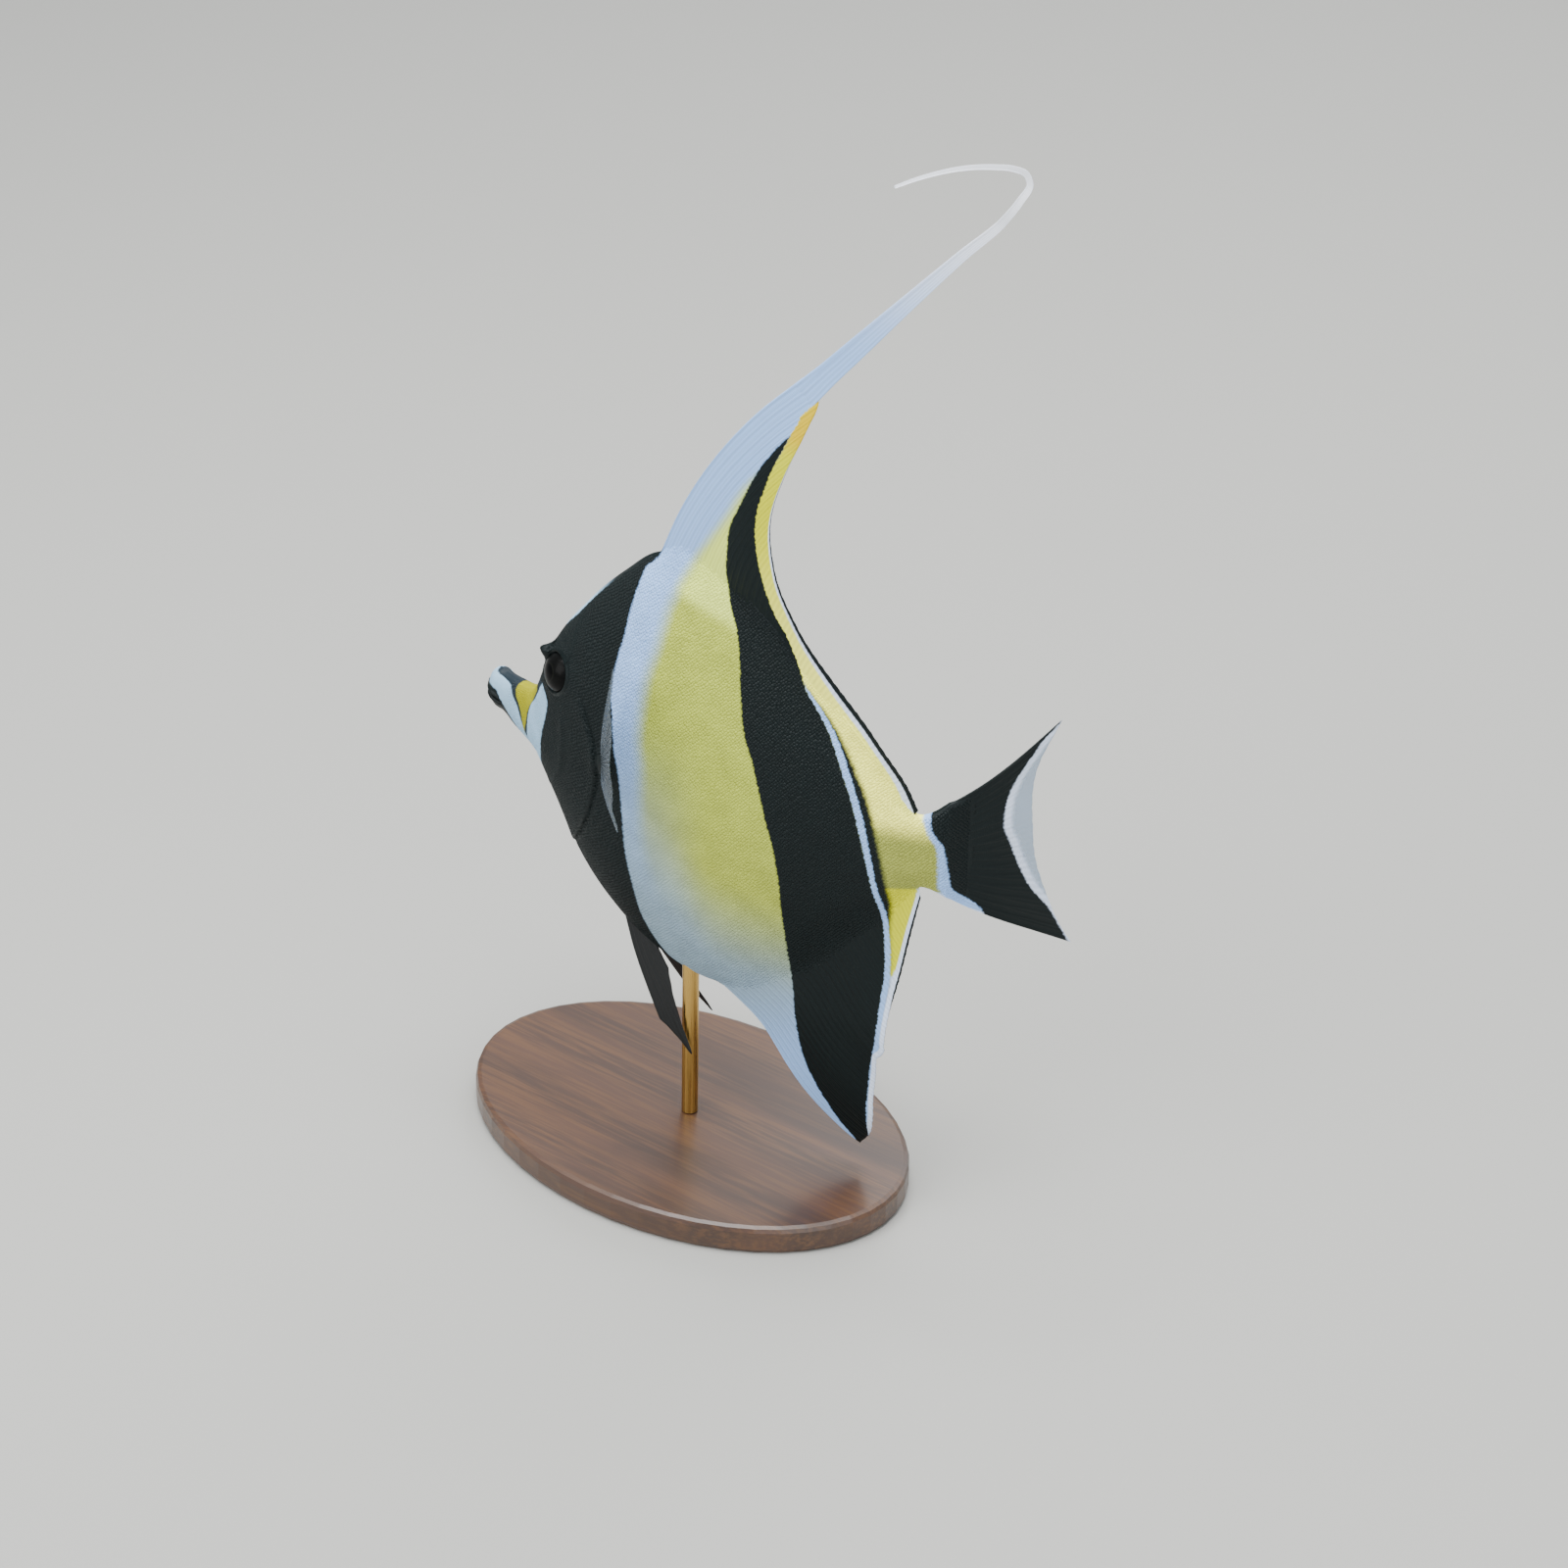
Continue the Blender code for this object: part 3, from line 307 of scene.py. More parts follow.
def make_piece(name, points, faces, layers, material, tail=True, replaces=()):
    """A smooth mesh piece from straight-fish points, posed and riding on the model's body."""
    mesh = bpy.data.meshes.new(name)
    corners = np.concatenate([f.ravel() for f in faces]).astype(np.int32)
    sizes = np.concatenate([np.full(len(f), f.shape[1]) for f in faces])
    starts = np.concatenate([[0], np.cumsum(sizes)[:-1]]).astype(np.int32)
    mesh.vertices.add(len(points))
    mesh.vertices.foreach_set("co", swim(points, tail).astype(np.float32).ravel())
    mesh.loops.add(len(corners))
    mesh.loops.foreach_set("vertex_index", corners)
    mesh.polygons.add(len(sizes))
    mesh.polygons.foreach_set("loop_start", starts)
    mesh.update(calc_edges=True)
    for layer, values in layers.items():
        mesh.uv_layers.new(name=layer).data.foreach_set("uv", values[corners].astype(np.float32).ravel())
    mesh.validate()
    mesh.shade_smooth()
    mesh.materials.append(material)
    piece = bpy.data.objects.new(name, mesh)
    bpy.context.scene.collection.objects.link(piece)
    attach(piece, "root")
    if replaces:
        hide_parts(*replaces)


# Materials

# How often a pattern repeats in the fish's 150 mm: patches of 7 mm, scales and ragged edges of 0.9 mm
PATCHES = 22.0
SCALE_GRAIN = 160.0
EDGE_GRAIN = 170.0
# Joints of the fin rays lie 0.47 mm apart: a full wave every 0.31 hundredths of the length
RAY_JOINTS = 20.0
# Fish skin under mucus: wet, but its gloss is broken up by the scales
WET_SKIN = {"IOR": 1.36, "Specular IOR Level": 0.3}


def feed(tree, node, inputs):
    """Gives a node's sockets their values, or links them to other nodes' outputs."""
    for key, value in inputs.items():
        if isinstance(value, bpy.types.NodeSocket):
            tree.links.new(value, node.inputs[key])
        else:
            node.inputs[key].default_value = value


def add(tree, kind, inputs=None, out=0, **settings):
    """Adds a node with its settings and inputs, and gives one of its outputs."""
    made = tree.nodes.new(kind)
    for name, value in settings.items():
        setattr(made, name, value)
    feed(tree, made, inputs or {})
    return made.outputs[out]


def map_number(tree, name, part):
    """The first or second number of a piece's map, in hundredths of the fish's length."""
    number = add(tree, "ShaderNodeSeparateXYZ", {0: add(tree, "ShaderNodeUVMap", uv_map=name)}, out=part)
    return add(tree, "ShaderNodeMath", {0: number, 1: 100.0}, operation="MULTIPLY")


def mottle(tree, scale, detail, low, high):
    """A number that wanders from low to high over the fish."""
    lie = add(tree, "ShaderNodeUVMap", uv_map="Lie")
    noise = add(tree, "ShaderNodeTexNoise", {"Vector": lie, "Scale": scale, "Detail": detail},
                noise_dimensions="2D")
    return add(tree, "ShaderNodeMapRange", {0: noise, 1: 0.3, 2: 0.7, 3: low, 4: high})


def opaque(colour):
    """A colour with its alpha; a node's output stays as it is."""
    return colour if isinstance(colour, bpy.types.NodeSocket) else (*colour, 1)


class Painter:
    """Lays colours over each other, by place on the straight fish where x and z are given."""

    def __init__(self, tree, ground, x=None, z=None):
        self.tree, self.colour, self.x, self.z = tree, opaque(ground), x, z

    def follow(self, table, at):
        """The table's value at a place, as a curve."""
        keys, values = zip(*table)
        low, high = min(values) - 0.5, max(values) + 0.5
        share = add(self.tree, "ShaderNodeMapRange", {0: at, 1: keys[0], 2: keys[-1]})
        curve = add(self.tree, "ShaderNodeFloatCurve", {"Value": share}).node
        points = curve.mapping.curves[0].points
        for n, (key, value) in enumerate(table):
            place = ((key - keys[0]) / (keys[-1] - keys[0]), (value - low) / (high - low))
            if n in (0, len(table) - 1):
                points[-1 if n else 0].location = place
            else:
                points.new(*place)
        for point in points:
            point.handle_type = "AUTO_CLAMPED"
        curve.mapping.update()
        return add(self.tree, "ShaderNodeMapRange", {0: curve.outputs[0], 3: low, 4: high})

    def past(self, value, edge, soft):
        """1 where value is past the edge, over a width of twice soft."""
        over = add(self.tree, "ShaderNodeMath", {0: value, 1: edge}, operation="SUBTRACT")
        return add(self.tree, "ShaderNodeMapRange", {0: over, 1: -soft, 2: soft},
                   interpolation_type="SMOOTHSTEP")

    def within(self, value, edge, soft):
        """1 where value falls short of the edge."""
        return self.outside(self.past(value, edge, soft))

    def behind(self, table, soft):
        """1 behind the edge that the table gives by height."""
        return self.past(self.x, self.follow(table, self.z), soft)

    def before(self, table, soft):
        """1 in front of the edge that the table gives by height."""
        return self.outside(self.behind(table, soft))

    def above(self, height, soft):
        """1 above a height, or above the line that a table gives by distance."""
        return self.past(self.z, self.follow(height, self.x) if isinstance(height, list) else height, soft)

    def below(self, height, soft):
        """1 below a height or such a line."""
        return self.outside(self.above(height, soft))

    def both(self, mask, *others):
        """Where all of the masks hold."""
        if not others:
            return mask
        return add(self.tree, "ShaderNodeMath", {0: mask, 1: self.both(*others)}, operation="MULTIPLY")

    def outside(self, mask):
        """Where the mask doesn't hold."""
        return add(self.tree, "ShaderNodeMath", {0: 1.0, 1: mask}, operation="SUBTRACT")

    def paint(self, colour, *masks):
        """Lays a colour over the rest where all of the masks hold."""
        layers = {0: self.both(*masks), 6: self.colour, 7: opaque(colour)}
        self.colour = add(self.tree, "ShaderNodeMix", layers, out=2, data_type="RGBA")


def marking_group():
    """The markings as a node group that skin, scales and fins share."""
    if "idol_markings" in bpy.data.node_groups:
        return bpy.data.node_groups["idol_markings"]
    s = bpy.context.scene.moorish_idol
    tree = bpy.data.node_groups.new("idol_markings", "ShaderNodeTree")
    tree.interface.new_socket("Color", in_out="OUTPUT", socket_type="NodeSocketColor")
    x, z = (map_number(tree, "Lie", part) for part in (0, 1))
    # Edges follow the scales, so they waver by about a fifth of a scale
    waver = mottle(tree, EDGE_GRAIN, 2.0, -0.12, 0.12)
    x = add(tree, "ShaderNodeMath", {0: x, 1: waver}, operation="ADD")
    p = Painter(tree, s.white, x, z)
    # White front of the flank with a yellow middle that pales on the fin. Lower down the flank turns grey
    # blue: painted shade, where the light from above falls off
    middle = p.both(p.behind(YELLOW_FRONT, 2.1), p.above(YELLOW_LOW, 12))
    p.paint(s.belly, p.below(-17, 15))
    p.paint(s.white, p.below(ANAL_WHITE_TOP, 11))
    p.paint(s.yellow, middle)
    # Painted shade: the yellow darkens towards the stalk yellow lower down
    p.paint(s.stalk, middle, p.below(-6, 15), 0.35)
    # Painted shade: the white front darkens to grey blue low down, near the breast fin
    p.paint(s.belly, p.below(0, 14), p.within(x, 52.0, 8.0), 0.6)
    p.paint(s.cream, middle, p.above(CREAM_LOW, 1.3))
    # Behind the second band: yellow, then white on the anal fin with a yellow wedge
    rear = p.behind(BLACK_TWO_REAR, 0.15)
    p.paint(s.white, rear, p.past(z, 68.0, 0.8))
    rear = p.both(rear, p.behind(STREAMER_WHITE_REAR, 0.25))
    p.paint(s.rear_yellow, rear)
    p.paint(s.strip, rear, p.above(38, 12))
    p.paint(s.tip, rear, p.above(65.0, 2.5), 0.45)
    # Painted light and shade on the stalk: its top keeps the bright rear yellow as if sunlit, and its sides
    # below take the darker stalk yellow
    p.paint(s.stalk, rear, p.below(STALK_SHADE_TOP, 2.3), p.above(-12, 2))
    low = p.both(rear, p.below(-8.1, 0.4))
    wedge = p.both(p.behind(ANAL_YELLOW_FRONT, 0.3), p.before(ANAL_YELLOW_REAR, 0.3))
    p.paint(s.white, low, p.outside(wedge))
    p.paint(s.edge, low, p.outside(wedge), 0.85)
    p.paint(s.strip, low, wedge)
    # White line behind the band, then a dark one that fades back into the yellow
    since = add(tree, "ShaderNodeMath", {0: x, 1: p.follow(BLACK_TWO_REAR, z)}, operation="SUBTRACT")
    white_end = p.follow(WHITE_LINE_WIDTH, z)
    dark_end = add(tree, "ShaderNodeMath", {0: white_end, 1: p.follow(DARK_LINE_WIDTH, z)}, operation="ADD")
    lined = p.both(rear, p.below(24.5, 1.5))
    p.paint(s.black, lined, p.within(since, dark_end, 0.7))
    p.paint(s.white, lined, p.within(since, white_end, 0.2))
    # The two black bands
    p.paint(s.black, p.behind(BLACK_TWO_FRONT, 0.2), p.outside(rear))
    p.paint(s.black, p.before(BLACK_ONE_REAR, 0.3))
    # Face: white snout and cheek round a yellow saddle with dark borders, above a black chin
    face = p.both(p.before(CHEEK_WHITE_END, 0.25), p.above(CHIN_LINE, 0.25), p.below(6.9, 0.4))
    p.paint(s.border, face)
    p.paint(s.snout, face, p.before(SNOUT_WHITE_END, 0.3))
    p.paint(s.saddle, face, p.behind(SADDLE_START, 0.2), p.before(SADDLE_END, 0.2), p.below(4.2, 0.5))
    p.paint(s.snout, face, p.behind(CHEEK_WHITE_START, 0.2))
    # A hair-thin pale line along the forehead's ridge and another down the throat
    ridge = [(at, float(smooth_curve(TOP_LINE, at) - np.interp(at, *RIDGE_WIDTH))) for at in range(19, 38)]
    p.paint(s.snout, p.above(ridge, 0.25), p.past(x, 22.6, 0.5), p.within(x, 31.0, 3.0))
    keel = [(at, float(smooth_curve(BOTTOM_LINE, at)) + KEEL_WIDTH) for at in range(15, 32)]
    p.paint(s.belly, p.below(keel, 0.15), p.past(x, 17.0, 0.5), p.within(x, 26.0, 4.0))
    # Tail: white bar, black fin with a white line before its clear margin
    tail = p.past(x, 94.0, 0.1)
    p.paint(s.white, tail, p.behind(TAIL_WHITE_START, 0.4))
    p.paint(s.black, tail, p.behind(TAIL_BLACK_START, 0.25))
    margin = add(tree, "ShaderNodeMath", {0: x, 1: p.follow(TAIL_BLACK_END, z)}, operation="SUBTRACT")
    p.paint(s.edge, p.past(margin, 0.0, 0.25))
    p.paint(s.clear, p.past(margin, 1.6, 0.6))
    feed(tree, tree.nodes.new("NodeGroupOutput"), {0: p.colour})
    return tree


def new_material(name):
    """A node material with its tree and its shader."""
    material = bpy.data.materials.new(name)
    material.use_nodes = True
    return material, material.node_tree, material.node_tree.nodes["Principled BSDF"]


def markings(tree):
    """The shared markings' colour in a material."""
    return add(tree, "ShaderNodeGroup", node_tree=marking_group())


def wet_scaled_skin():
    """Skin of fine scales under clear mucus: even colour, soft sheen, fine grain."""
    material, tree, shader = new_material("wet_scaled_skin")
    shade = mottle(tree, PATCHES, 5.0, 0.9, 1.08)
    colour = add(tree, "ShaderNodeVectorMath", {0: markings(tree), "Scale": shade}, operation="SCALE")
    lie = add(tree, "ShaderNodeUVMap", uv_map="Lie")
    grain = add(tree, "ShaderNodeTexVoronoi", {"Vector": lie, "Scale": SCALE_GRAIN}, voronoi_dimensions="2D")
    bump = add(tree, "ShaderNodeBump", {"Strength": 0.25, "Distance": 0.00012, "Height": grain})
    feed(tree, shader, {"Base Color": colour, "Normal": bump, "Roughness": 0.5, **WET_SKIN,
                        "Coat Weight": 0.05, "Coat Roughness": 0.25})
    return material


def ctenoid_scales():
    """Fine rough-edged scales: horny plates with pale free edges, satin as wet skin is."""
    material, tree, shader = new_material("ctenoid_scales")
    # Each scale pales towards its free edge, under a fine speckle and broad soft patches
    own = add(tree, "ShaderNodeSeparateXYZ", {0: add(tree, "ShaderNodeUVMap", uv_map="Scale")})
    shade = add(tree, "ShaderNodeMapRange", {0: own, 1: 0.6, 2: 1.04, 3: 0.95, 4: 1.05})
    lie = add(tree, "ShaderNodeUVMap", uv_map="Lie")
    speckle = add(tree, "ShaderNodeTexWhiteNoise", {"Vector": lie}, noise_dimensions="2D")
    speckle = add(tree, "ShaderNodeMapRange", {0: speckle, 3: 0.95, 4: 1.05})
    for other in (speckle, mottle(tree, PATCHES, 5.0, 0.92, 1.07)):
        shade = add(tree, "ShaderNodeMath", {0: shade, 1: other}, operation="MULTIPLY")
    colour = add(tree, "ShaderNodeVectorMath", {0: markings(tree), "Scale": shade}, operation="SCALE")
    feed(tree, shader, {"Base Color": colour, "Roughness": 0.48, **WET_SKIN})
    return material


def ray_shade(tree, membrane, ray):
    """A value on the membrane between fin rays that changes to another on the rays."""
    phase = add(tree, "ShaderNodeMath", {0: map_number(tree, "Ray", 0), 1: 0.0, 2: 1.0}, operation="WRAP")
    between = add(tree, "ShaderNodeMath", {0: phase, 1: 0.5}, operation="SUBTRACT")
    between = add(tree, "ShaderNodeMath", {0: between}, operation="ABSOLUTE")
    # Each ray splits in two, so that the streaks lie twice as close
    between = add(tree, "ShaderNodeMath", {0: between, 1: 0.25}, operation="PINGPONG")
    return add(tree, "ShaderNodeMapRange", {0: between, 1: 0.03, 2: 0.2, 3: ray, 4: membrane})


def rayed_membrane():
    """Thin fin skin over bony rays: the body's markings, with a white edge and fine streaks."""
    material, tree, shader = new_material("rayed_membrane")
    s = bpy.context.scene.moorish_idol
    x, z = (map_number(tree, "Lie", part) for part in (0, 1))
    inward = map_number(tree, "Ray", 1)
    p = Painter(tree, markings(tree), x, z)
    on_tail = p.past(x, 99.0, 0.1)
    # The rear edges of dorsal and anal fin: a white hem with a dark line outside it
    hem = p.both(p.outside(on_tail), p.behind(BLACK_TWO_REAR, 0.1), p.within(z, 62.0, 3.0))
    p.paint(s.edge, hem, p.within(inward, p.follow(HEM_WHITE_WIDTH, z), 0.15))
    p.paint(s.black, hem, p.within(inward, p.follow(HEM_DARK_WIDTH, z), 0.1))
    colour = add(tree, "ShaderNodeVectorMath", {0: p.colour, "Scale": ray_shade(tree, 0.88, 1.03)},
                 operation="SCALE")
    joints = add(tree, "ShaderNodeMath", {0: inward, 1: RAY_JOINTS}, operation="MULTIPLY")
    joints = add(tree, "ShaderNodeMath", {0: joints}, operation="SINE")
    bump = add(tree, "ShaderNodeBump", {"Strength": 0.3, "Distance": 0.00006, "Height": joints})
    # The tail fin's margin is clear
    clear_from = add(tree, "ShaderNodeMath", {0: p.follow(TAIL_BLACK_END, z), 1: 1.5}, operation="ADD")
    clear = p.both(on_tail, p.past(x, clear_from, 0.5))
    alpha = add(tree, "ShaderNodeMapRange", {0: clear, 3: 1.0, 4: 0.45})
    feed(tree, shader, {"Base Color": colour, "Normal": bump, "Alpha": alpha, "Roughness": 0.5, **WET_SKIN})
    return material


def plain_membrane(name, colour, alpha, roughness):
    """Fin skin of one colour, streaked along its rays; with alpha below one it is see-through."""
    material, tree, shader = new_material(name)
    tinted = add(tree, "ShaderNodeVectorMath", {0: colour, "Scale": ray_shade(tree, 0.75, 1.25)},
                 operation="SCALE")
    feed(tree, shader, {"Base Color": tinted, "Alpha": ray_shade(tree, alpha, min(1.0, alpha * 1.6)),
                        "Roughness": roughness, "IOR": 1.4})
    return material


def filament():
    """White fin skin round a bony spine, thin enough to let some light through."""
    material, tree, shader = new_material("white_filament")
    p = Painter(tree, bpy.context.scene.moorish_idol.white)
    p.paint(linear("#F2F6FF"), p.past(map_number(tree, "Lie", 1), 98.0, 16.0))
    colour = add(tree, "ShaderNodeVectorMath", {0: p.colour, "Scale": ray_shade(tree, 0.86, 1.04)},
                 operation="SCALE")
    feed(tree, shader, {"Base Color": colour, "Roughness": 0.45, "IOR": 1.4, "Subsurface Weight": 0.15,
                        "Subsurface Radius": (0.0006, 0.0006, 0.0006)})
    return material


def eye_material():
    """Eyeball under a clear cornea: black pupil, near-black iris with a faint ring, wet gloss."""
    material, tree, shader = new_material("wet_eyeball")
    place = add(tree, "ShaderNodeUVMap", uv_map="Eye")
    radius = add(tree, "ShaderNodeSeparateXYZ", {0: place})
    fleck = add(tree, "ShaderNodeTexNoise", {"Vector": place, "Scale": 26.0, "Detail": 4.0},
                noise_dimensions="2D")
    p = Painter(tree, linear("#060707"))
    p.paint(linear("#0B0B0A"), fleck)
    p.paint(linear("#161713"), p.within(radius, 0.46, 0.02))
    p.paint(linear("#020203"), p.within(radius, 0.42, 0.015))
    p.paint(linear("#070808"), p.past(radius, 0.84, 0.05))
    feed(tree, shader, {"Base Color": p.colour, "Roughness": 0.35, "IOR": 1.34, "Specular IOR Level": 0.1,
                        "Coat Weight": 0.07, "Coat IOR": 1.34, "Coat Roughness": 0.12})
    return material


def stained_wood():
    """Turned hardwood under dark stain and satin varnish: long grain, fine pores, soft gloss."""
    material, tree, shader = new_material("stained_walnut_varnished")
    where = add(tree, "ShaderNodeTexCoord", out="Object")
    # The grain runs along the base: figure 16 mm wide, grain lines 1 mm and pores 0.5 mm
    stretch = add(tree, "ShaderNodeMapping", {"Vector": where, "Scale": (1.0, 7.0, 7.0)})
    warp = add(tree, "ShaderNodeTexNoise", {"Vector": stretch, "Scale": 9.0, "Detail": 4.0,
                                            "Distortion": 0.6})
    fine = add(tree, "ShaderNodeMapping", {"Vector": where, "Scale": (1.0, 22.0, 22.0)})
    grain = add(tree, "ShaderNodeTexNoise", {"Vector": fine, "Scale": 42.0, "Detail": 5.0, "Roughness": 0.6})
    figure = add(tree, "ShaderNodeTexWave", {"Vector": stretch, "Scale": 3.0, "Distortion": 9.0,
                                             "Detail": 3.0, "Detail Scale": 0.7}, bands_direction="Y")
    p = Painter(tree, linear("#3B2518"))
    p.paint(linear("#4E3120"), figure, 0.7)
    p.paint(linear("#56381F"), p.past(grain, 0.53, 0.12))
    p.paint(linear("#2C1A10"), p.past(warp, 0.58, 0.12), 0.6)
    pores = add(tree, "ShaderNodeTexNoise", {"Vector": stretch, "Scale": 260.0, "Detail": 2.0})
    bump = add(tree, "ShaderNodeBump", {"Strength": 0.15, "Distance": 0.0001, "Height": pores})
    feed(tree, shader, {"Base Color": p.colour, "Normal": bump, "Roughness": 0.5, "Coat Weight": 0.5,
                        "Coat Roughness": 0.22})
    return material


def drawn_brass():
    """Drawn brass rod: yellow metal with fine lines along its length, 0.4 mm apart."""
    material, tree, shader = new_material("drawn_brass")
    where = add(tree, "ShaderNodeTexCoord", out="Object")
    stretch = add(tree, "ShaderNodeMapping", {"Vector": where, "Scale": (1.0, 1.0, 0.02)})
    lines = add(tree, "ShaderNodeTexNoise", {"Vector": stretch, "Scale": 2500.0, "Detail": 3.0})
    rough = add(tree, "ShaderNodeMapRange", {0: lines, 1: 0.3, 2: 0.7, 3: 0.22, 4: 0.42})
    shade = add(tree, "ShaderNodeMapRange", {0: lines, 1: 0.3, 2: 0.7, 3: 0.9, 4: 1.05})
    colour = add(tree, "ShaderNodeVectorMath", {0: linear("#C9A45C"), "Scale": shade}, operation="SCALE")
    feed(tree, shader, {"Base Color": colour, "Roughness": rough, "Metallic": 1.0})
    return material


def painted_floor():
    """Matt painted studio floor, with the faintest unevenness."""
    material, tree, shader = new_material("matt_painted_floor")
    where = add(tree, "ShaderNodeTexCoord", out="Object")
    uneven = add(tree, "ShaderNodeTexNoise", {"Vector": where, "Scale": 3.0, "Detail": 4.0})
    shade = add(tree, "ShaderNodeMapRange", {0: uneven, 3: 0.97, 4: 1.03})
    ground = tuple(bpy.context.scene.idol_stage.floor)
    colour = add(tree, "ShaderNodeVectorMath", {0: ground, "Scale": shade}, operation="SCALE")
    feed(tree, shader, {"Base Color": colour, "Roughness": 0.8})
    return material


# Pieces

FLANK_COLUMNS = 131
SHEATH_EDGE = 0.1
DORSAL_SHEATH = [(0, 0), (42.5, 0), (44.5, 1.2), (47, 2.6), (52, 3.4), (80, 3.2), (86, 2.4), (91, 1.2),
                 (94.6, 0.2), (96, 0), (110, 0)]
ANAL_SHEATH = [(0, 0), (54.5, 0), (57, 0.8), (60, 1.8), (65, 3.2), (90, 3.4), (94, 2.4), (96, 0), (110, 0)]
# The skin's overlap on the tail fin, and the rings that close its nose
TAIL_OVERLAP = 4.4
TAIL_ROWS = 9
NOSE_RINGS = 6
GILL_EDGE = [(-24, 25), (-17, 31), (-9, 35), (-3, 36.3), (2, 35.8), (8, 33), (12, 31)]
CHEEK_EDGE = [(-14, 18), (-12, 22), (-8, 26), (-2, 28), (6, 27.4)]
LATERAL_LINE = [(34, 15), (40, 22), (48, 27), (58, 27), (68, 22.5), (80, 13), (90, 5.5), (99, 0)]


def body_stations():
    """Distances of the skin's cross sections, close together on the face."""
    runs = ((0, 3.8, 0.12), (3.8, 13, 0.24), (13, 30, 0.2), (30, 40, 0.3), (40, 100, 0.55))
    return np.concatenate([np.arange(a, b - step / 2, step) for a, b, step in runs] + [[100]])


def relief(points, side):
    """Height of the skin's own forms over the plain body, at points of one flank."""
    x, z = points[..., 0], points[..., 2]

    def away(place):
        return np.linalg.norm(points - on_flank(place, side), axis=-1)

    depth, front, back = MOUTH
    height = np.zeros(x.shape)
    # Lips rolled round the mouth line
    line = z - (front + (back - front) * np.clip(x / depth, 0, 1))
    near = ease((depth + 0.4 - x) / 1.2)
    height += near * (0.30 * bell(abs(line) - 0.62, 0.36) - 0.55 * bell(line, 0.17))
    # Hollow along the snout and a soft cheek
    height -= 0.22 * bell(x - 9, 3.2) * bell(z + 3.6, 1.6)
    height += 0.25 * bell(x - 22, 4) * bell(z + 6, 5)
    # Brow, socket and rim of the eye, the horn before it and the nostrils
    eye = away(EYE_PLACE)
    height += 0.45 * bell(away(BROW_PLACE), 4.0)
    height += 0.42 * bell(eye - 3.7, 0.34) - 1.7 * ease((3.42 - eye) / 0.45)
    height += 0.12 * bell(eye - 4.6, 0.5)
    height += 1.9 * bell(away(HORN_PLACE), 1.05)
    for nostril in NOSTRILS:
        hole = away(nostril)
        height += 0.17 * bell(hole - nostril[2] * 1.6, 0.2) - 0.6 * bell(hole, nostril[2] * 0.8)
    # Gill cover: it swells to its edge and drops behind it
    edge = x - smooth_curve(GILL_EDGE, z)
    window = ease((z + 25) / 6) * ease((12 - z) / 5)
    height += window * np.where(edge < 0, 0.42 * np.exp(edge / 2.4), 0.42 * np.exp(-edge / 0.16))
    height -= window * 0.2 * bell(edge - 0.5, 0.5)
    inner = x - smooth_curve(CHEEK_EDGE, z)
    height += 0.16 * ease((z + 14) / 4) * ease((6 - z) / 4) * bell(inner, 0.7)
    # Raised seat of the breast fin, and the lateral line high over the flank
    height += 0.5 * bell(away(BREAST_SEAT), 2.4)
    lateral = smooth_curve(LATERAL_LINE, x)
    height += 0.07 * bell(z - lateral, 0.3) * ease((x - 34) / 2)
    return height


def sheathe(right, rise, end, edge):
    """Draws the flank out into a thin sheath up the foot of the fin on its back or keel."""
    x = right[:, end, 0]
    height = smooth_curve(rise, x)
    blend = ease(height / 0.9)[:, None, None]
    sign = 1 if end else -1
    reach = 0.6 + 1.15 * height
    level = edge(x) - sign * reach
    t = flank_place(x, level)
    start, over = skin(x, t), skin(x, t + sign * 0.002)
    slope = (over[:, 1] - start[:, 1]) / abs(over[:, 2] - start[:, 2])
    q = np.clip(sign * (right[..., 2] - level[:, None]) / reach[:, None], 0, 1)
    span = (reach + height)[:, None]
    drawn = right.copy()
    drawn[..., 1] = ((2 * q ** 3 - 3 * q ** 2 + 1) * start[:, 1:2]
                     + (q ** 3 - 2 * q ** 2 + q) * span * slope[:, None]
                     + (3 * q ** 2 - 2 * q ** 3) * SHEATH_EDGE)
    drawn[..., 2] = level[:, None] + sign * q * span
    return np.where((q > 0)[..., None], right * (1 - blend) + drawn * blend, right)


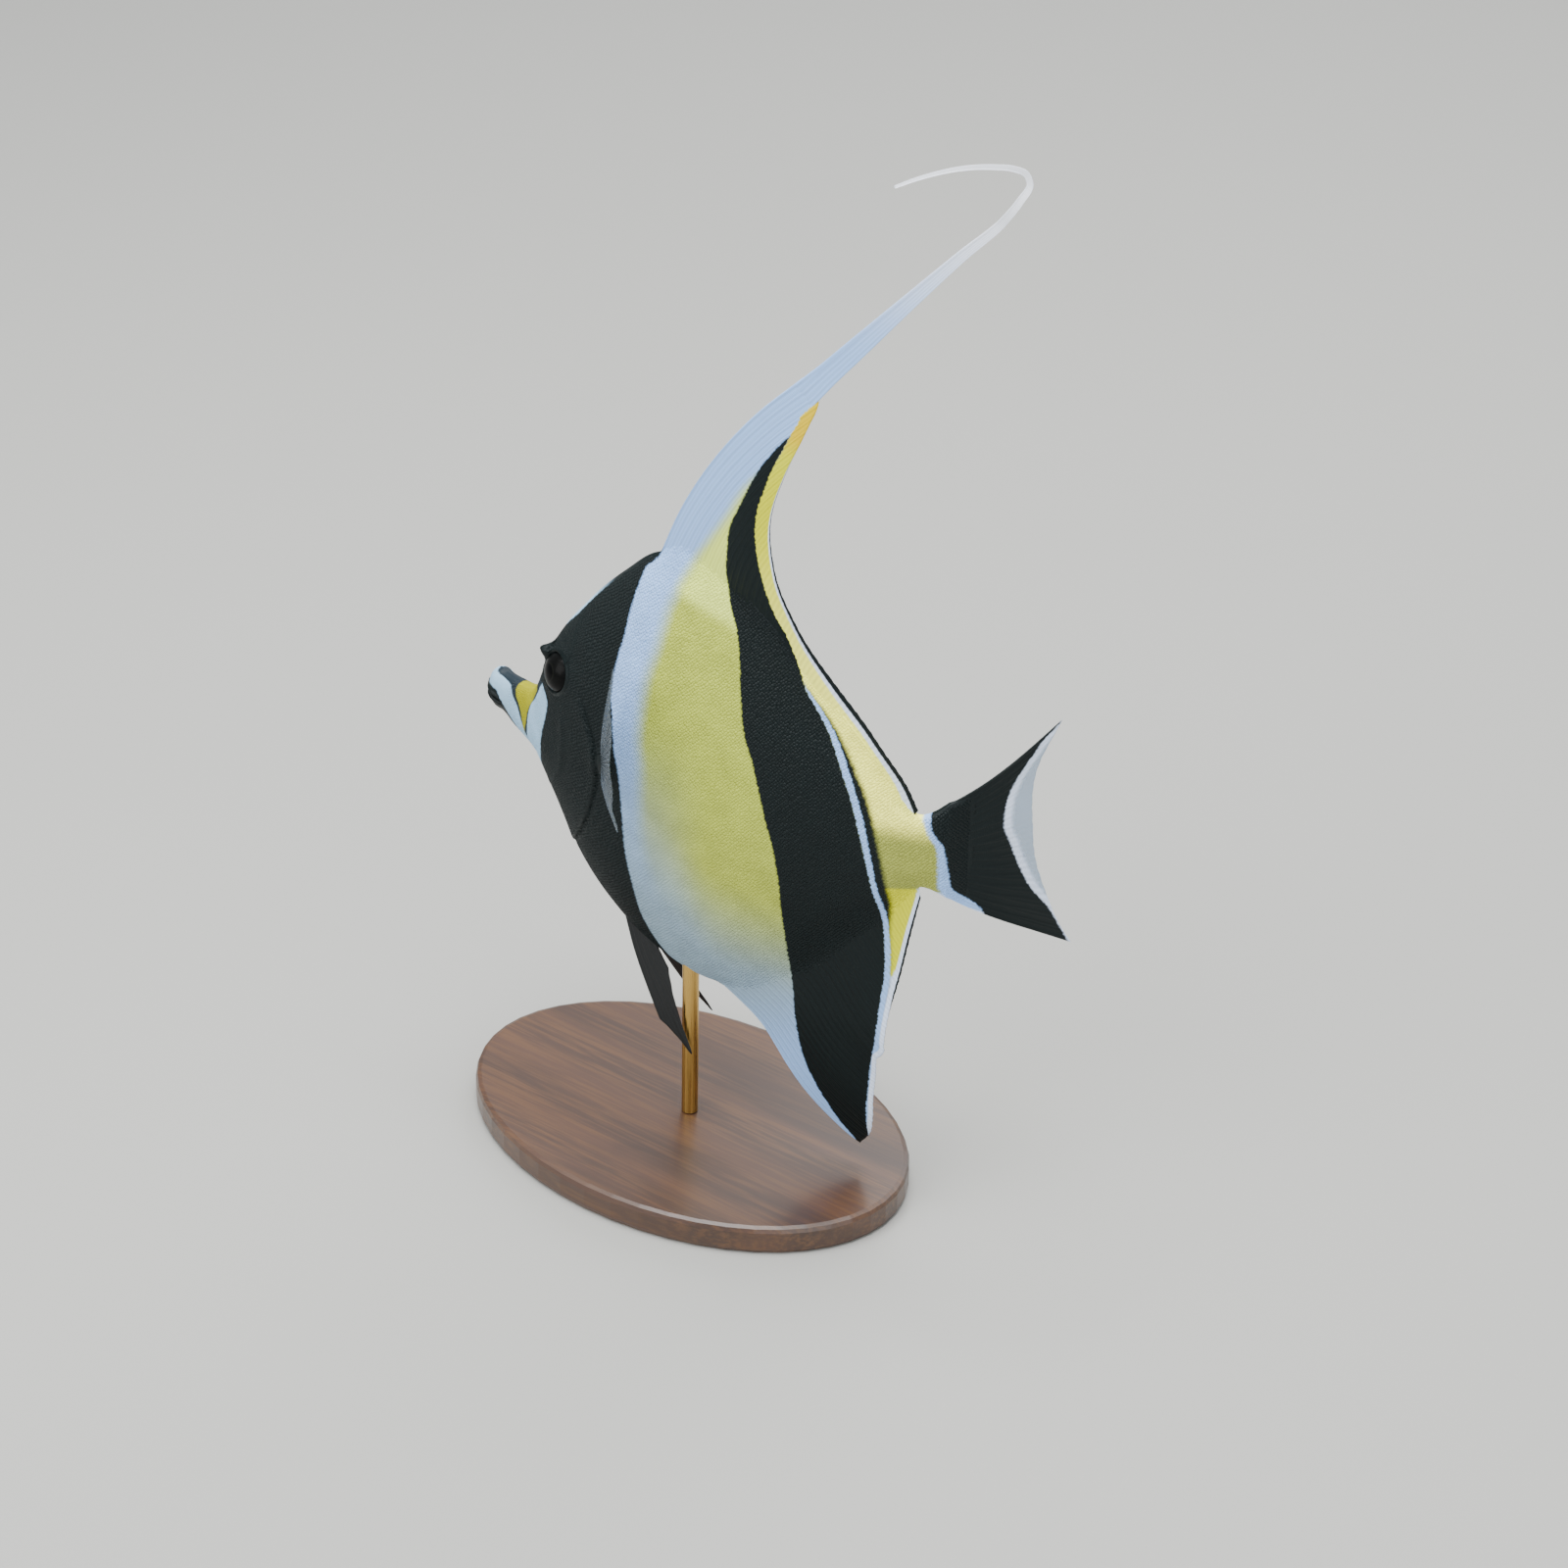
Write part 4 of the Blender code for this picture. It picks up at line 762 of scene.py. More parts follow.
def skin_grid():
    """Rows of points round the body, nose cap first, with the relief laid on, and each row's distance."""
    stations = body_stations()
    # Columns lie closer together towards back and keel
    t = np.linspace(-1, 1, FLANK_COLUMNS)
    t = t + 0.25 * (np.sin(t * math.pi / 2) - t)
    right = skin(stations[:, None], t[None])
    right = sheathe(right, DORSAL_SHEATH, -1, lambda x: smooth_curve(TOP_LINE, x))
    right = sheathe(right, ANAL_SHEATH, 0, lambda x: smooth_curve(BOTTOM_LINE, x))
    # Behind the stalk the skin thins out onto the tail fin
    past = np.linspace(0.4, TAIL_OVERLAP, TAIL_ROWS)[:, None]
    tail = np.repeat(right[-1:], TAIL_ROWS, 0)
    tail[..., 0] += past
    tail[..., 1] = SHEATH_EDGE + (tail[..., 1] - SHEATH_EDGE) * (1 - past / TAIL_OVERLAP) ** 1.6
    tail[..., 2] *= 1 + 0.045 * past
    right = np.concatenate([right, tail])
    left = right[:, ::-1] * np.array([1, -1, 1])
    sides = np.array([0.55, 0, -0.55])[None, :, None] * np.array([0, 1, 0])
    lift = np.array([0.28, 0.4, 0.28])[None, :, None] * np.array([0, 0, 1])
    top = right[:, -1:] * np.array([1, 0, 1]) + right[:, -1:, 1:2] * (sides + lift)
    keel = right[:, :1] * np.array([1, 0, 1]) - right[:, :1, 1:2] * (sides + lift)
    grid = np.concatenate([right, top, left, keel], 1)
    middle = grid[:1].mean(1, keepdims=True)
    nose = []
    for k in range(NOSE_RINGS, 0, -1):
        turn = k / (NOSE_RINGS + 0.5) * math.pi / 2
        nose.append(middle + (grid[:1] - middle) * math.cos(turn) - np.array([0.4 * math.sin(turn), 0, 0]))
    grid = np.concatenate([*nose, grid], 0)
    row_x = grid[:, 0, 0].copy()
    along = np.gradient(grid, axis=0)
    wrapped = np.concatenate([grid[:, -1:], grid, grid[:, :1]], 1)
    round_it = (wrapped[:, 2:] - wrapped[:, :-2]) / 2
    normal = unit(np.cross(round_it, along))
    height = np.where(grid[..., 1] >= 0, relief(grid, 1), relief(grid, -1))
    return grid + normal * height[..., None], row_x


ARC_STEP = 0.2


class Flank:
    """One side's skin by distance along the body and by arc up and down from its middle."""

    def __init__(self, grid, row_x, side):
        last = FLANK_COLUMNS - 1
        part = grid[:, :last + 1] if side > 0 else grid[:, 2 * last + 4:last + 3:-1]
        steps = np.linalg.norm(np.diff(part, axis=1), axis=2)
        arcs = np.concatenate([np.zeros((len(part), 1)), np.cumsum(steps, 1)], 1)
        arcs -= arcs[:, last // 2, None]
        self.row_x, self.low, self.high = row_x, arcs[:, 0], arcs[:, -1]
        self.arcs = np.arange(-50, 56, ARC_STEP)
        self.points = np.array([[np.interp(self.arcs, arc, row[:, c]) for c in range(3)]
                                for arc, row in zip(arcs, part)]).transpose(0, 2, 1)
        self.normals = grid_normal(self.points) * side

    def limits(self, x):
        """Lowest and highest arc at distance x."""
        return np.interp(x, self.row_x, self.low), np.interp(x, self.row_x, self.high)

    def at(self, x, arc):
        """Points and outward normals at places on this side."""
        row = np.interp(x, self.row_x, np.arange(len(self.row_x)))
        column = (arc - self.arcs[0]) / ARC_STEP
        i = np.minimum(row.astype(int), len(self.row_x) - 2)
        j = np.clip(column.astype(int), 0, len(self.arcs) - 2)
        a, b = (row - i)[..., None], (column - j)[..., None]
        point, normal = ((1 - a) * ((1 - b) * table[i, j] + b * table[i, j + 1])
                         + a * ((1 - b) * table[i + 1, j] + b * table[i + 1, j + 1])
                         for table in (self.points, self.normals))
        return point, unit(normal)


# One scale: places back and up in its own pitch, and heights over the skin in hundredths
SCALE_BACK = np.array([-0.25, -0.3, -0.25, 0.35, 0.35, 0.35, 0.85, 1.08, 0.85])
SCALE_UP = np.array([-0.32, 0, 0.32, -0.52, 0, 0.52, -0.34, 0, 0.34])
SCALE_HEIGHT = np.array([-0.04, -0.04, -0.04, 0.002, 0.03, 0.002, 0.02, 0.042, 0.02])
SCALE_BORDER = np.array([0, 1, 2, 5, 8, 7, 6, 3])
SCALE_THICKNESS = 0.05
# Where scales lie, from and to a distance, and their pitch; and the places they keep clear of
SCALE_RUNS = ((6.5, 30, 0.51), (30, 103, 0.68))
SCALE_FREE = ((EYE_PLACE, 4.15), (HORN_PLACE, 1.6), (NOSTRILS[0], 1.1), (NOSTRILS[1], 1.0),
              (BREAST_SEAT, 2.2))
# The scales' baking map: each one on a small square of its own, by distance and by arc
BAKE_LENGTH = 110
BAKE_ARC = 220
BAKE_SQUARE = 0.003


def scale_places(flank, side):
    """Roots of the scales on one side, in staggered rows, and the pitch of each."""
    rng = np.random.default_rng(11 if side > 0 else 12)
    roots = []
    for start, stop, pitch in SCALE_RUNS:
        for k, x in enumerate(np.arange(start, stop, pitch / 2)):
            low, high = flank.limits(x)
            arcs = np.arange(math.ceil(low / pitch), math.floor(high / pitch) + 1) * pitch
            arcs = arcs + 0.5 * pitch * (k % 2)
            arcs = arcs[(arcs > low + 0.35) & (arcs < high - 0.35)]
            spread = rng.uniform(-0.13, 0.13, (len(arcs), 2)) * pitch
            size = pitch * rng.uniform(0.92, 1.12, len(arcs))
            roots.append(np.stack([x + spread[:, 0], arcs + spread[:, 1], size], 1))
    roots = np.concatenate(roots)
    points, _ = flank.at(roots[:, 0], roots[:, 1])
    keep = np.ones(len(roots), bool)
    for place, clear in SCALE_FREE:
        keep &= np.linalg.norm(points - on_flank(place, side), axis=1) > clear
    return roots[keep]


def build_scales(grid, row_x, side, end, material):
    """The scales of one side: thin tongues that overlap and lie along the skin."""
    flank = Flank(grid, row_x, side)
    roots = scale_places(flank, side)
    pitch = roots[:, 2:3]
    x = roots[:, :1] + SCALE_BACK * pitch
    arc = roots[:, 1:2] + SCALE_UP * pitch
    points, normals = flank.at(x, arc)
    upper = points + normals * (SCALE_HEIGHT * np.minimum(pitch / 0.8, 1))[..., None]
    under = upper[:, SCALE_BORDER] - normals[:, SCALE_BORDER] * SCALE_THICKNESS
    block = np.concatenate([upper, under], 1)
    ring = np.arange(8)
    faces = np.concatenate([
        [(0, 1, 4, 3), (1, 2, 5, 4), (3, 4, 7, 6), (4, 5, 8, 7)],
        np.stack([SCALE_BORDER[ring], ring + 9, (ring + 1) % 8 + 9, SCALE_BORDER[(ring + 1) % 8]], 1),
        [(9, 12, 11, 10), (9, 16, 13, 12), (13, 16, 15, 14)]])
    if side > 0:
        faces = faces[:, ::-1]
    lie = block[..., [0, 2]] / 100
    local = np.stack([np.concatenate([v, v[SCALE_BORDER]]) for v in (SCALE_BACK, SCALE_UP)], 1)
    local = np.broadcast_to(local[None] * 0.5 + 0.5, (len(roots), 17, 2))
    half_up = 0.75 if side > 0 else 0.25
    flat = np.stack([roots[:, 0] / BAKE_LENGTH + 0.02, roots[:, 1] / BAKE_ARC + half_up], 1)
    bake = flat[:, None] + (local - 0.6) * BAKE_SQUARE
    maps = {"OFBake": bake, "Lie": lie, "Scale": local}
    for number, chosen in enumerate(np.array_split(np.argsort(roots[:, 0], kind="stable"), 4), 1):
        all_faces = (faces[None] + np.arange(len(chosen))[:, None, None] * 17).reshape(-1, 4)
        layers = {name: values[chosen].reshape(-1, 2) for name, values in maps.items()}
        make_piece(f"idol_scales_{end}_{number}", block[chosen].reshape(-1, 3), [all_faces], layers, material)


def build_skin(grid):
    """One skin over head, trunk and tail stalk."""
    rows, columns = grid.shape[:2]
    points = grid.reshape(-1, 3)
    faces = quads(rows, columns, wrap=True)[:, ::-1]
    # Fans of triangles close its two ends
    j = np.arange(columns)
    tips = np.array([points[:columns].mean(0), points[-columns:].mean(0)])
    first = np.stack([j, (j + 1) % columns, np.full(columns, len(points))], 1)
    last = (rows - 1) * columns
    second = np.stack([last + (j + 1) % columns, last + j, np.full(columns, len(points) + 1)], 1)
    points = np.concatenate([points, tips])
    make_piece("idol_skin", points, [faces, first, second], {"Lie": points[:, [0, 2]] / 100},
               wet_scaled_skin(), replaces=("head", "trunk", "tail_stalk"))


def ray_ridges(u, r, stout):
    """Share of the ray's full height at ray number u and share r of its length; rays branch outward."""
    d = u - np.round(u)
    apart = 0.17 * ease((r - 0.35) / 0.4)
    width = 0.16 - 0.06 * r
    ridge = np.maximum(bell(d - apart, width), bell(d + apart, width))
    first = bell(u, 0.35)
    return ridge * (1 - 0.45 * r) * (1 + (stout - 1) * first)


def close_sheet(centre, normal, half):
    """Both faces of a thin sheet, joined round its border, as points and quads."""
    rows, columns = half.shape
    one = (centre + normal * half[..., None]).reshape(-1, 3)
    other = (centre - normal * half[..., None]).reshape(-1, 3)
    front = quads(rows, columns)
    back = front[:, ::-1] + len(one)
    i = np.arange(rows * columns).reshape(rows, columns)
    border = np.concatenate([i[0], i[1:, -1], i[-1, -2::-1], i[-2:0:-1, 0]])
    ahead = np.roll(border, -1)
    side = np.stack([ahead, border, border + len(one), ahead + len(one)], -1)
    return np.concatenate([one, other]), np.concatenate([front, back, side])


FOOT_SUNK = 0.9
THIN = 0.13
RAY_STEPS = 12
PAIRED_ROWS = 48
STREAMER_ROWS = 360
EYE_RINGS = 39
EYE_SECTORS = 64


def fin_feet(base, line, s):
    """Feet of a fin's rays: along the back or belly line, or up the stalk's end where line is None."""
    place = base[0] + (base[1] - base[0]) * s
    if line is None:
        return np.stack([np.full_like(s, STALK_END), place], -1)
    return np.stack([place, smooth_curve(line, place)], -1)


def make_fin(name, nodes, centre, half, u, inward, material, side=1, normal=None, tail=True):
    """A fin as a thin closed sheet. Its Ray map holds the ray's number and how far in from the edge."""
    if normal is None:
        normal = grid_normal(centre)
    flip = np.array([1, side, 1])
    points, faces = close_sheet(centre * flip, normal * flip, half)
    if side < 0:
        faces = faces[:, ::-1]
    ray = np.stack(np.broadcast_arrays(u, inward, half)[:2], -1).reshape(-1, 2) / 100
    layers = {"Lie": points[:, [0, 2]] / 100, "Ray": np.tile(ray, (2, 1))}
    make_piece(name, points, [faces], layers, material, tail=tail, replaces=nodes)


def build_upright(name, node, base, line, tips, bow, material, rays, rows, wave, stout, flat_to=-1):
    """A median fin with fine branched rays and, past the share flat_to of its base, a fringed edge."""
    settings = bpy.context.scene.moorish_idol
    s = np.linspace(0, 1, (rays - 1) * RAY_STEPS + 1)
    u = s * (rays - 1)
    r = np.linspace(0, 1, rows)[:, None]
    tip = np.stack([smooth_curve([(p[0], p[k]) for p in tips], s) for k in (1, 2)], -1)
    feet = fin_feet(base, line, s)
    length = np.linalg.norm(tip - feet, axis=-1, keepdims=True)
    way = (tip - feet) / length
    aside = np.stack([-way[:, 1], way[:, 0]], -1)
    arch = (smooth_curve(bow, r) * (1 - s) ** 2)[..., None]
    sunk = feet - way * FOOT_SUNK
    grid = sunk + (tip - sunk) * r[..., None] + arch * aside
    d = abs(u - np.round(u))
    rng = np.random.default_rng(7)
    fringe = np.where(s > flat_to, 0.2 * (0.5 - d) + 0.08 * rng.random(len(s)), 0)
    grid = grid + way * (fringe * ease((r - 0.93) / 0.07))[..., None]
    half = THIN * (1.15 - 0.45 * r) + settings.ray_height * ray_ridges(u, r, stout)
    whole = half[-1].copy()
    # The free edge is sharp; where the streamer begins the fin thins out inside it
    half = half * np.where(s > flat_to, np.where(r < 1, 1, 0.3), np.interp(r, (0.945, 0.995), (1, 0.1)))
    y = wave * np.sin(u / rays * 17 + r * 2.2) * r ** 1.4 * ease(s / 0.12)
    centre = np.stack([grid[..., 0], y, grid[..., 1]], -1)
    # The hem ends where the streamer begins
    inward = (1 - r) * length[:, 0] + np.where(s <= flat_to, 9, 0)
    make_fin(name, (node,), centre, half, u, inward, material)
    return centre[-1], whole, u


def build_streamer(edge, half, u):
    """The long filament that the dorsal fin's front rays run on into."""
    settings = bpy.context.scene.moorish_idol
    points = np.array(STREAMER, float)
    steps = np.linalg.norm(np.diff(points[:, :2], axis=0), axis=1)
    reach = np.concatenate([[0], np.cumsum(steps)]) / steps.sum()
    row = np.arange(STREAMER_ROWS)
    s = np.linspace(0, 1, STREAMER_ROWS)
    x, z, width = (smooth_curve(list(zip(reach, points[:, k])), s) for k in range(3))
    hook = np.where(s > HOOK_SHARE, np.maximum(HOOK_START - x, 0), 0)
    centre = np.stack([x, -HOOK_LEAN * hook * ease((s - HOOK_SHARE) / HOOK_EASE), z], -1)
    along = unit(np.gradient(centre, axis=0))
    across = unit(np.cross(along, np.array([0, 1.0, 0])))
    face = np.cross(across, along)
    share = np.linspace(0, 1, len(edge))
    ribbon = centre[:, None] - across[:, None] * (width[:, None] * (share - 0.5))[..., None]
    start = edge[None] + along[:, None] * (row[:, None, None] * steps.sum() / STREAMER_ROWS)
    join = ease(row / 30)[:, None, None]
    grid = start * (1 - join) + ribbon * join
    # The spine keeps its thickness to the tip, and the membrane behind it thins away
    spine = bell(share - 0.12, 0.13) * 0.2 * (1 - 0.55 * s[:, None])
    film = (THIN * 0.62 * (1 - 0.5 * s[:, None])
            + settings.ray_height * 0.5 * ray_ridges(u, 1.0, 1.0) * (1 - s[:, None]))
    thick = half[None] * (1 - join[..., 0]) + np.maximum(spine, film) * join[..., 0]
    # Its first rows lie inside the fin and come out of it slowly, so that no seam shows
    grid = grid - along[0] * 2.4 * (1 - ease(row / 60))[:, None, None]
    thick *= np.interp(row, (0, 3, 6), (0.4, 0.95, 1.05))[:, None]
    thick[-1] *= 0.2
    make_fin("idol_streamer", ("dorsal_streamer_lower", "dorsal_streamer_upper", "dorsal_streamer_bend",
                               "dorsal_streamer_tip"),
             grid, thick, u, STREAMER_INWARD, filament(),
             normal=np.broadcast_to(face[:, None], grid.shape), tail=False)


def build_paired(name, node, side, root, way, spread, lengths, cup, rays, material):
    """A fin on the flank with fine rays that fan out of its seat."""
    settings = bpy.context.scene.moorish_idol
    s = np.linspace(0, 1, (rays - 1) * RAY_STEPS + 1)
    u = s * (rays - 1)
    r = np.linspace(-0.07, 1, PAIRED_ROWS)[:, None, None]
    (x0, z0), (x1, z1) = root
    x, z = x0 + (x1 - x0) * s, z0 + (z1 - z0) * s
    feet = skin(x, flank_place(x, z))
    way = unit(way)
    across = feet[-1] - feet[0]
    across = unit(across - way * (across @ way))
    face = np.cross(way, across)
    turn = np.radians(spread[0] + (spread[1] - spread[0]) * s)[:, None]
    ray = np.cos(turn) * way + np.sin(turn) * across
    length = smooth_curve(lengths, s)[:, None]
    bow = (turn / abs(np.radians(spread[0]))) ** 2
    reach = np.maximum(r, 0)
    centre = feet + ray * length * r + face * cup * bow * reach ** 1.5
    # A fringed edge and a slight crumple across the rays
    d = abs(u - np.round(u))[:, None]
    centre = centre + ray * 0.45 * (0.5 - d) * ease((r - 0.93) / 0.07)
    centre = centre + face * 0.16 * np.sin(u * 1.3)[:, None] * reach ** 2
    r, reach = r[..., 0], reach[..., 0]
    half = THIN * (1.2 - 0.5 * r) + settings.ray_height * 1.1 * ray_ridges(u, reach, 1.5)
    half[-1] *= 0.3
    make_fin(name, (node,), centre, half, u, (1 - r) * length[:, 0], material, side)


def build_eye(name, node, side, material):
    """An eyeball with a bulging cornea, set in its socket."""
    x, z = EYE_PLACE
    t = flank_place(x, z)
    normal = skin_normal(x, t)
    centre = skin(x, t) - normal * EYE_SUNK
    first = unit(np.cross(normal, np.array([0, 0, 1.0])))
    second = np.cross(normal, first)
    rings = np.linspace(0, 1, EYE_RINGS + 1)[1:] * math.pi * 0.62
    radius = EYE_RADIUS * 0.985 * np.sin(rings)
    height = EYE_DEPTH * np.cos(rings) + CORNEA * bell(radius, 2.0) - 0.05 * bell(radius - 3.1, 0.25)
    angle = np.linspace(0, 2 * math.pi, EYE_SECTORS + 1)[:-1]
    spokes = np.cos(angle)[:, None] * first + np.sin(angle)[:, None] * second
    grid = centre + radius[:, None, None] * spokes + height[:, None, None] * normal
    crown = centre + (EYE_DEPTH + CORNEA) * normal
    points = np.concatenate([grid.reshape(-1, 3), crown[None]]) * np.array([1, side, 1])
    faces = quads(EYE_RINGS, EYE_SECTORS, wrap=True)
    j = np.arange(EYE_SECTORS)
    fan = np.stack([np.full(EYE_SECTORS, EYE_RINGS * EYE_SECTORS), (j + 1) % EYE_SECTORS, j], 1)
    if side < 0:
        faces, fan = faces[:, ::-1], fan[:, ::-1]
    around = np.stack([np.repeat(radius / EYE_RADIUS, EYE_SECTORS), np.tile(angle / 6.3, EYE_RINGS)], -1)
    make_piece(name, points, [faces, fan], {"Eye": np.concatenate([around, [[0, 0]]])}, material,
               replaces=(node,))


# The studio: soft lights by name, place and side in metres and strength in watts, and what they face
LIGHTS = (("sky", (-0.05, 0.0, 1.25), 0.9, 32), ("key", (-0.3, -0.95, 0.75), 0.9, 11),
          ("fill", (0.95, -0.5, 0.45), 1.0, 7), ("back", (-0.2, 0.9, 0.8), 0.8, 6))
LIGHTS_FACE = (0, 0, 0.14)
AIR_COLOUR = "#E8ECF2"
AIR_STRENGTH = 0.6
FLOOR_SIZE = 8
# The photo's view: azimuth, height and roll in degrees, aim and distance in metres, lens in millimetres
VIEW_ANGLES = (38.074, 30.804, 0.602)
VIEW_AIM = (0.0075, 0, AXIS_HEIGHT)
VIEW_DISTANCE = 1.1393
VIEW_LENS = 103.3
VIEW_SHIFT = (0.0437, -0.0047)


def colour_setting(name, description, value):
    """A colour that the user can change."""
    return FloatVectorProperty(name=name, description=description, size=3, subtype="COLOR",
                               default=linear(value))


class IdolSettings(bpy.types.PropertyGroup):
    """Sizes and colours of the fish."""

    ray_height: FloatProperty(name="Ray height", default=0.1, min=0,
                              description="How far fin rays stand out, in hundredths of the length")
    white: colour_setting("White", "Bluish white of flank, fins and streamer", "#95BBEF")
    snout: colour_setting("Snout white", "White of the snout and cheek", "#98BCD6")
    edge: colour_setting("Edge white", "Clean white of the fins' edges", "#DCE9FF")
    yellow: colour_setting("Yellow", "Yellow of the flank", "#AAB645")
    cream: colour_setting("Cream", "Pale yellow of the dorsal fin", "#DCED70")
    # The belly colour is the white in painted shade, for the lower flank where the light from above falls
    # off; it also draws the pale throat line
    belly: colour_setting("Belly", "Grey blue of the lower flank", "#869BA8")
    # Rear yellow is brighter than the flank's yellow: partly painted light, for the sunlit rear and the
    # stalk's lit top
    rear_yellow: colour_setting("Rear yellow", "Yellow behind the second band", "#FFFF76")
    # Stalk yellow is painted shade: a darker yellow for the stalk's sides and the lower part of the flank's
    # yellow
    stalk: colour_setting("Stalk yellow", "Dull yellow of the tail stalk", "#969D48")
    strip: colour_setting("Strip yellow", "Deep yellow at the fins' rear edges", "#D0D214")
    tip: colour_setting("Tip orange", "Orange where the dorsal fin's bands meet", "#D98A00")
    saddle: colour_setting("Saddle yellow", "Deep yellow of the snout's saddle", "#949204")
    black: colour_setting("Black", "Black of the bands", "#071213")
    border: colour_setting("Border", "Dusky border of the saddle", "#1C2830")
    clear: colour_setting("Clear edge", "Greyish clear margin of the tail fin", "#7FA2C2")


class StageSettings(bpy.types.PropertyGroup):
    """Floor and light."""

    floor: colour_setting("Floor", "Colour of the floor", "#A5A5A1")
    light: FloatProperty(name="Light", description="Strength of the soft lights", default=1.0, min=0)


class IDOL_OT_skin(bpy.types.Operator):
    """Builds the skin of head, trunk and tail stalk"""

    bl_idname = "idol.skin"
    bl_label = "Skin"

    def execute(self, context):
        build_skin(skin_grid()[0])
        return {"FINISHED"}


class IDOL_OT_scales(bpy.types.Operator):
    """Lays the scales over the skin of both sides"""

    bl_idname = "idol.scales"
    bl_label = "Scales"

    def execute(self, context):
        grid, row_x = skin_grid()
        material = ctenoid_scales()
        for side, end in SIDES:
            build_scales(grid, row_x, side, end, material)
        return {"FINISHED"}


class IDOL_OT_upright_fins(bpy.types.Operator):
    """Builds the dorsal fin with its streamer, the anal fin and the tail fin"""

    bl_idname = "idol.upright_fins"
    bl_label = "Upright fins"

    def execute(self, context):
        material = rayed_membrane()
        edge, half, u = build_upright("idol_dorsal_fin", "dorsal_fin", DORSAL_BASE, TOP_LINE, DORSAL_TIPS,
                                      DORSAL_BOW, material, rays=DORSAL_RAYS, rows=60, wave=0.3, stout=1.9,
                                      flat_to=STREAMER_SHARE)
        front = u <= STREAMER_SHARE * (DORSAL_RAYS - 1) + 1e-6
        build_streamer(edge[front], half[front], u[front])
        build_upright("idol_anal_fin", "anal_fin", ANAL_BASE, BOTTOM_LINE, ANAL_TIPS, ANAL_BOW, material,
                      rays=34, rows=50, wave=0.3, stout=1.6)
        build_upright("idol_tail_fin", "tail_fin", CAUDAL_BASE, None, CAUDAL_TIPS, [(0, 0), (1, 0)], material,
                      rays=18, rows=56, wave=0.25, stout=1.3)
        return {"FINISHED"}


class IDOL_OT_paired_fins(bpy.types.Operator):
    """Builds the breast and belly fins of both sides"""

    bl_idname = "idol.paired_fins"
    bl_label = "Breast and belly fins"

    def execute(self, context):
        smoky = plain_membrane("smoky_clear_membrane", linear("#5C6873"), 0.3, 0.4)
        black = plain_membrane("black_membrane", linear("#0C0F10"), 1.0, 0.5)
        for side, end in SIDES:
            build_paired(f"idol_breast_fin_{end}", f"pectoral_fin_{end}", side, PECTORAL_ROOT, PECTORAL_WAY,
                         PECTORAL_SPREAD, PECTORAL_LENGTHS, PECTORAL_CUP, 18, smoky)
            worn = RIGHT_PELVIC_WORN if side > 0 else 1
            lengths = [(s, length * worn) for s, length in PELVIC_LENGTHS]
            build_paired(f"idol_belly_fin_{end}", f"pelvic_fin_{end}", side, PELVIC_ROOT, PELVIC_WAY,
                         PELVIC_SPREAD, lengths, 0, 6, black)
        return {"FINISHED"}


class IDOL_OT_eyes(bpy.types.Operator):
    """Builds both eyes"""

    bl_idname = "idol.eyes"
    bl_label = "Eyes"

    def execute(self, context):
        material = eye_material()
        for side, end in SIDES:
            build_eye(f"idol_eye_{end}", f"eye_{end}", side, material)
        return {"FINISHED"}


class IDOL_OT_stand(bpy.types.Operator):
    """Finishes the display base and its rod"""

    bl_idname = "idol.stand"
    bl_label = "Stand"

    def execute(self, context):
        for node, material, slot in (("stand_base", stained_wood(), "stand_wood"),
                                     ("stand_rod", drawn_brass(), "stand_metal")):
            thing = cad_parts[node]
            for place in thing.material_slots:
                place.material = material
        return {"FINISHED"}


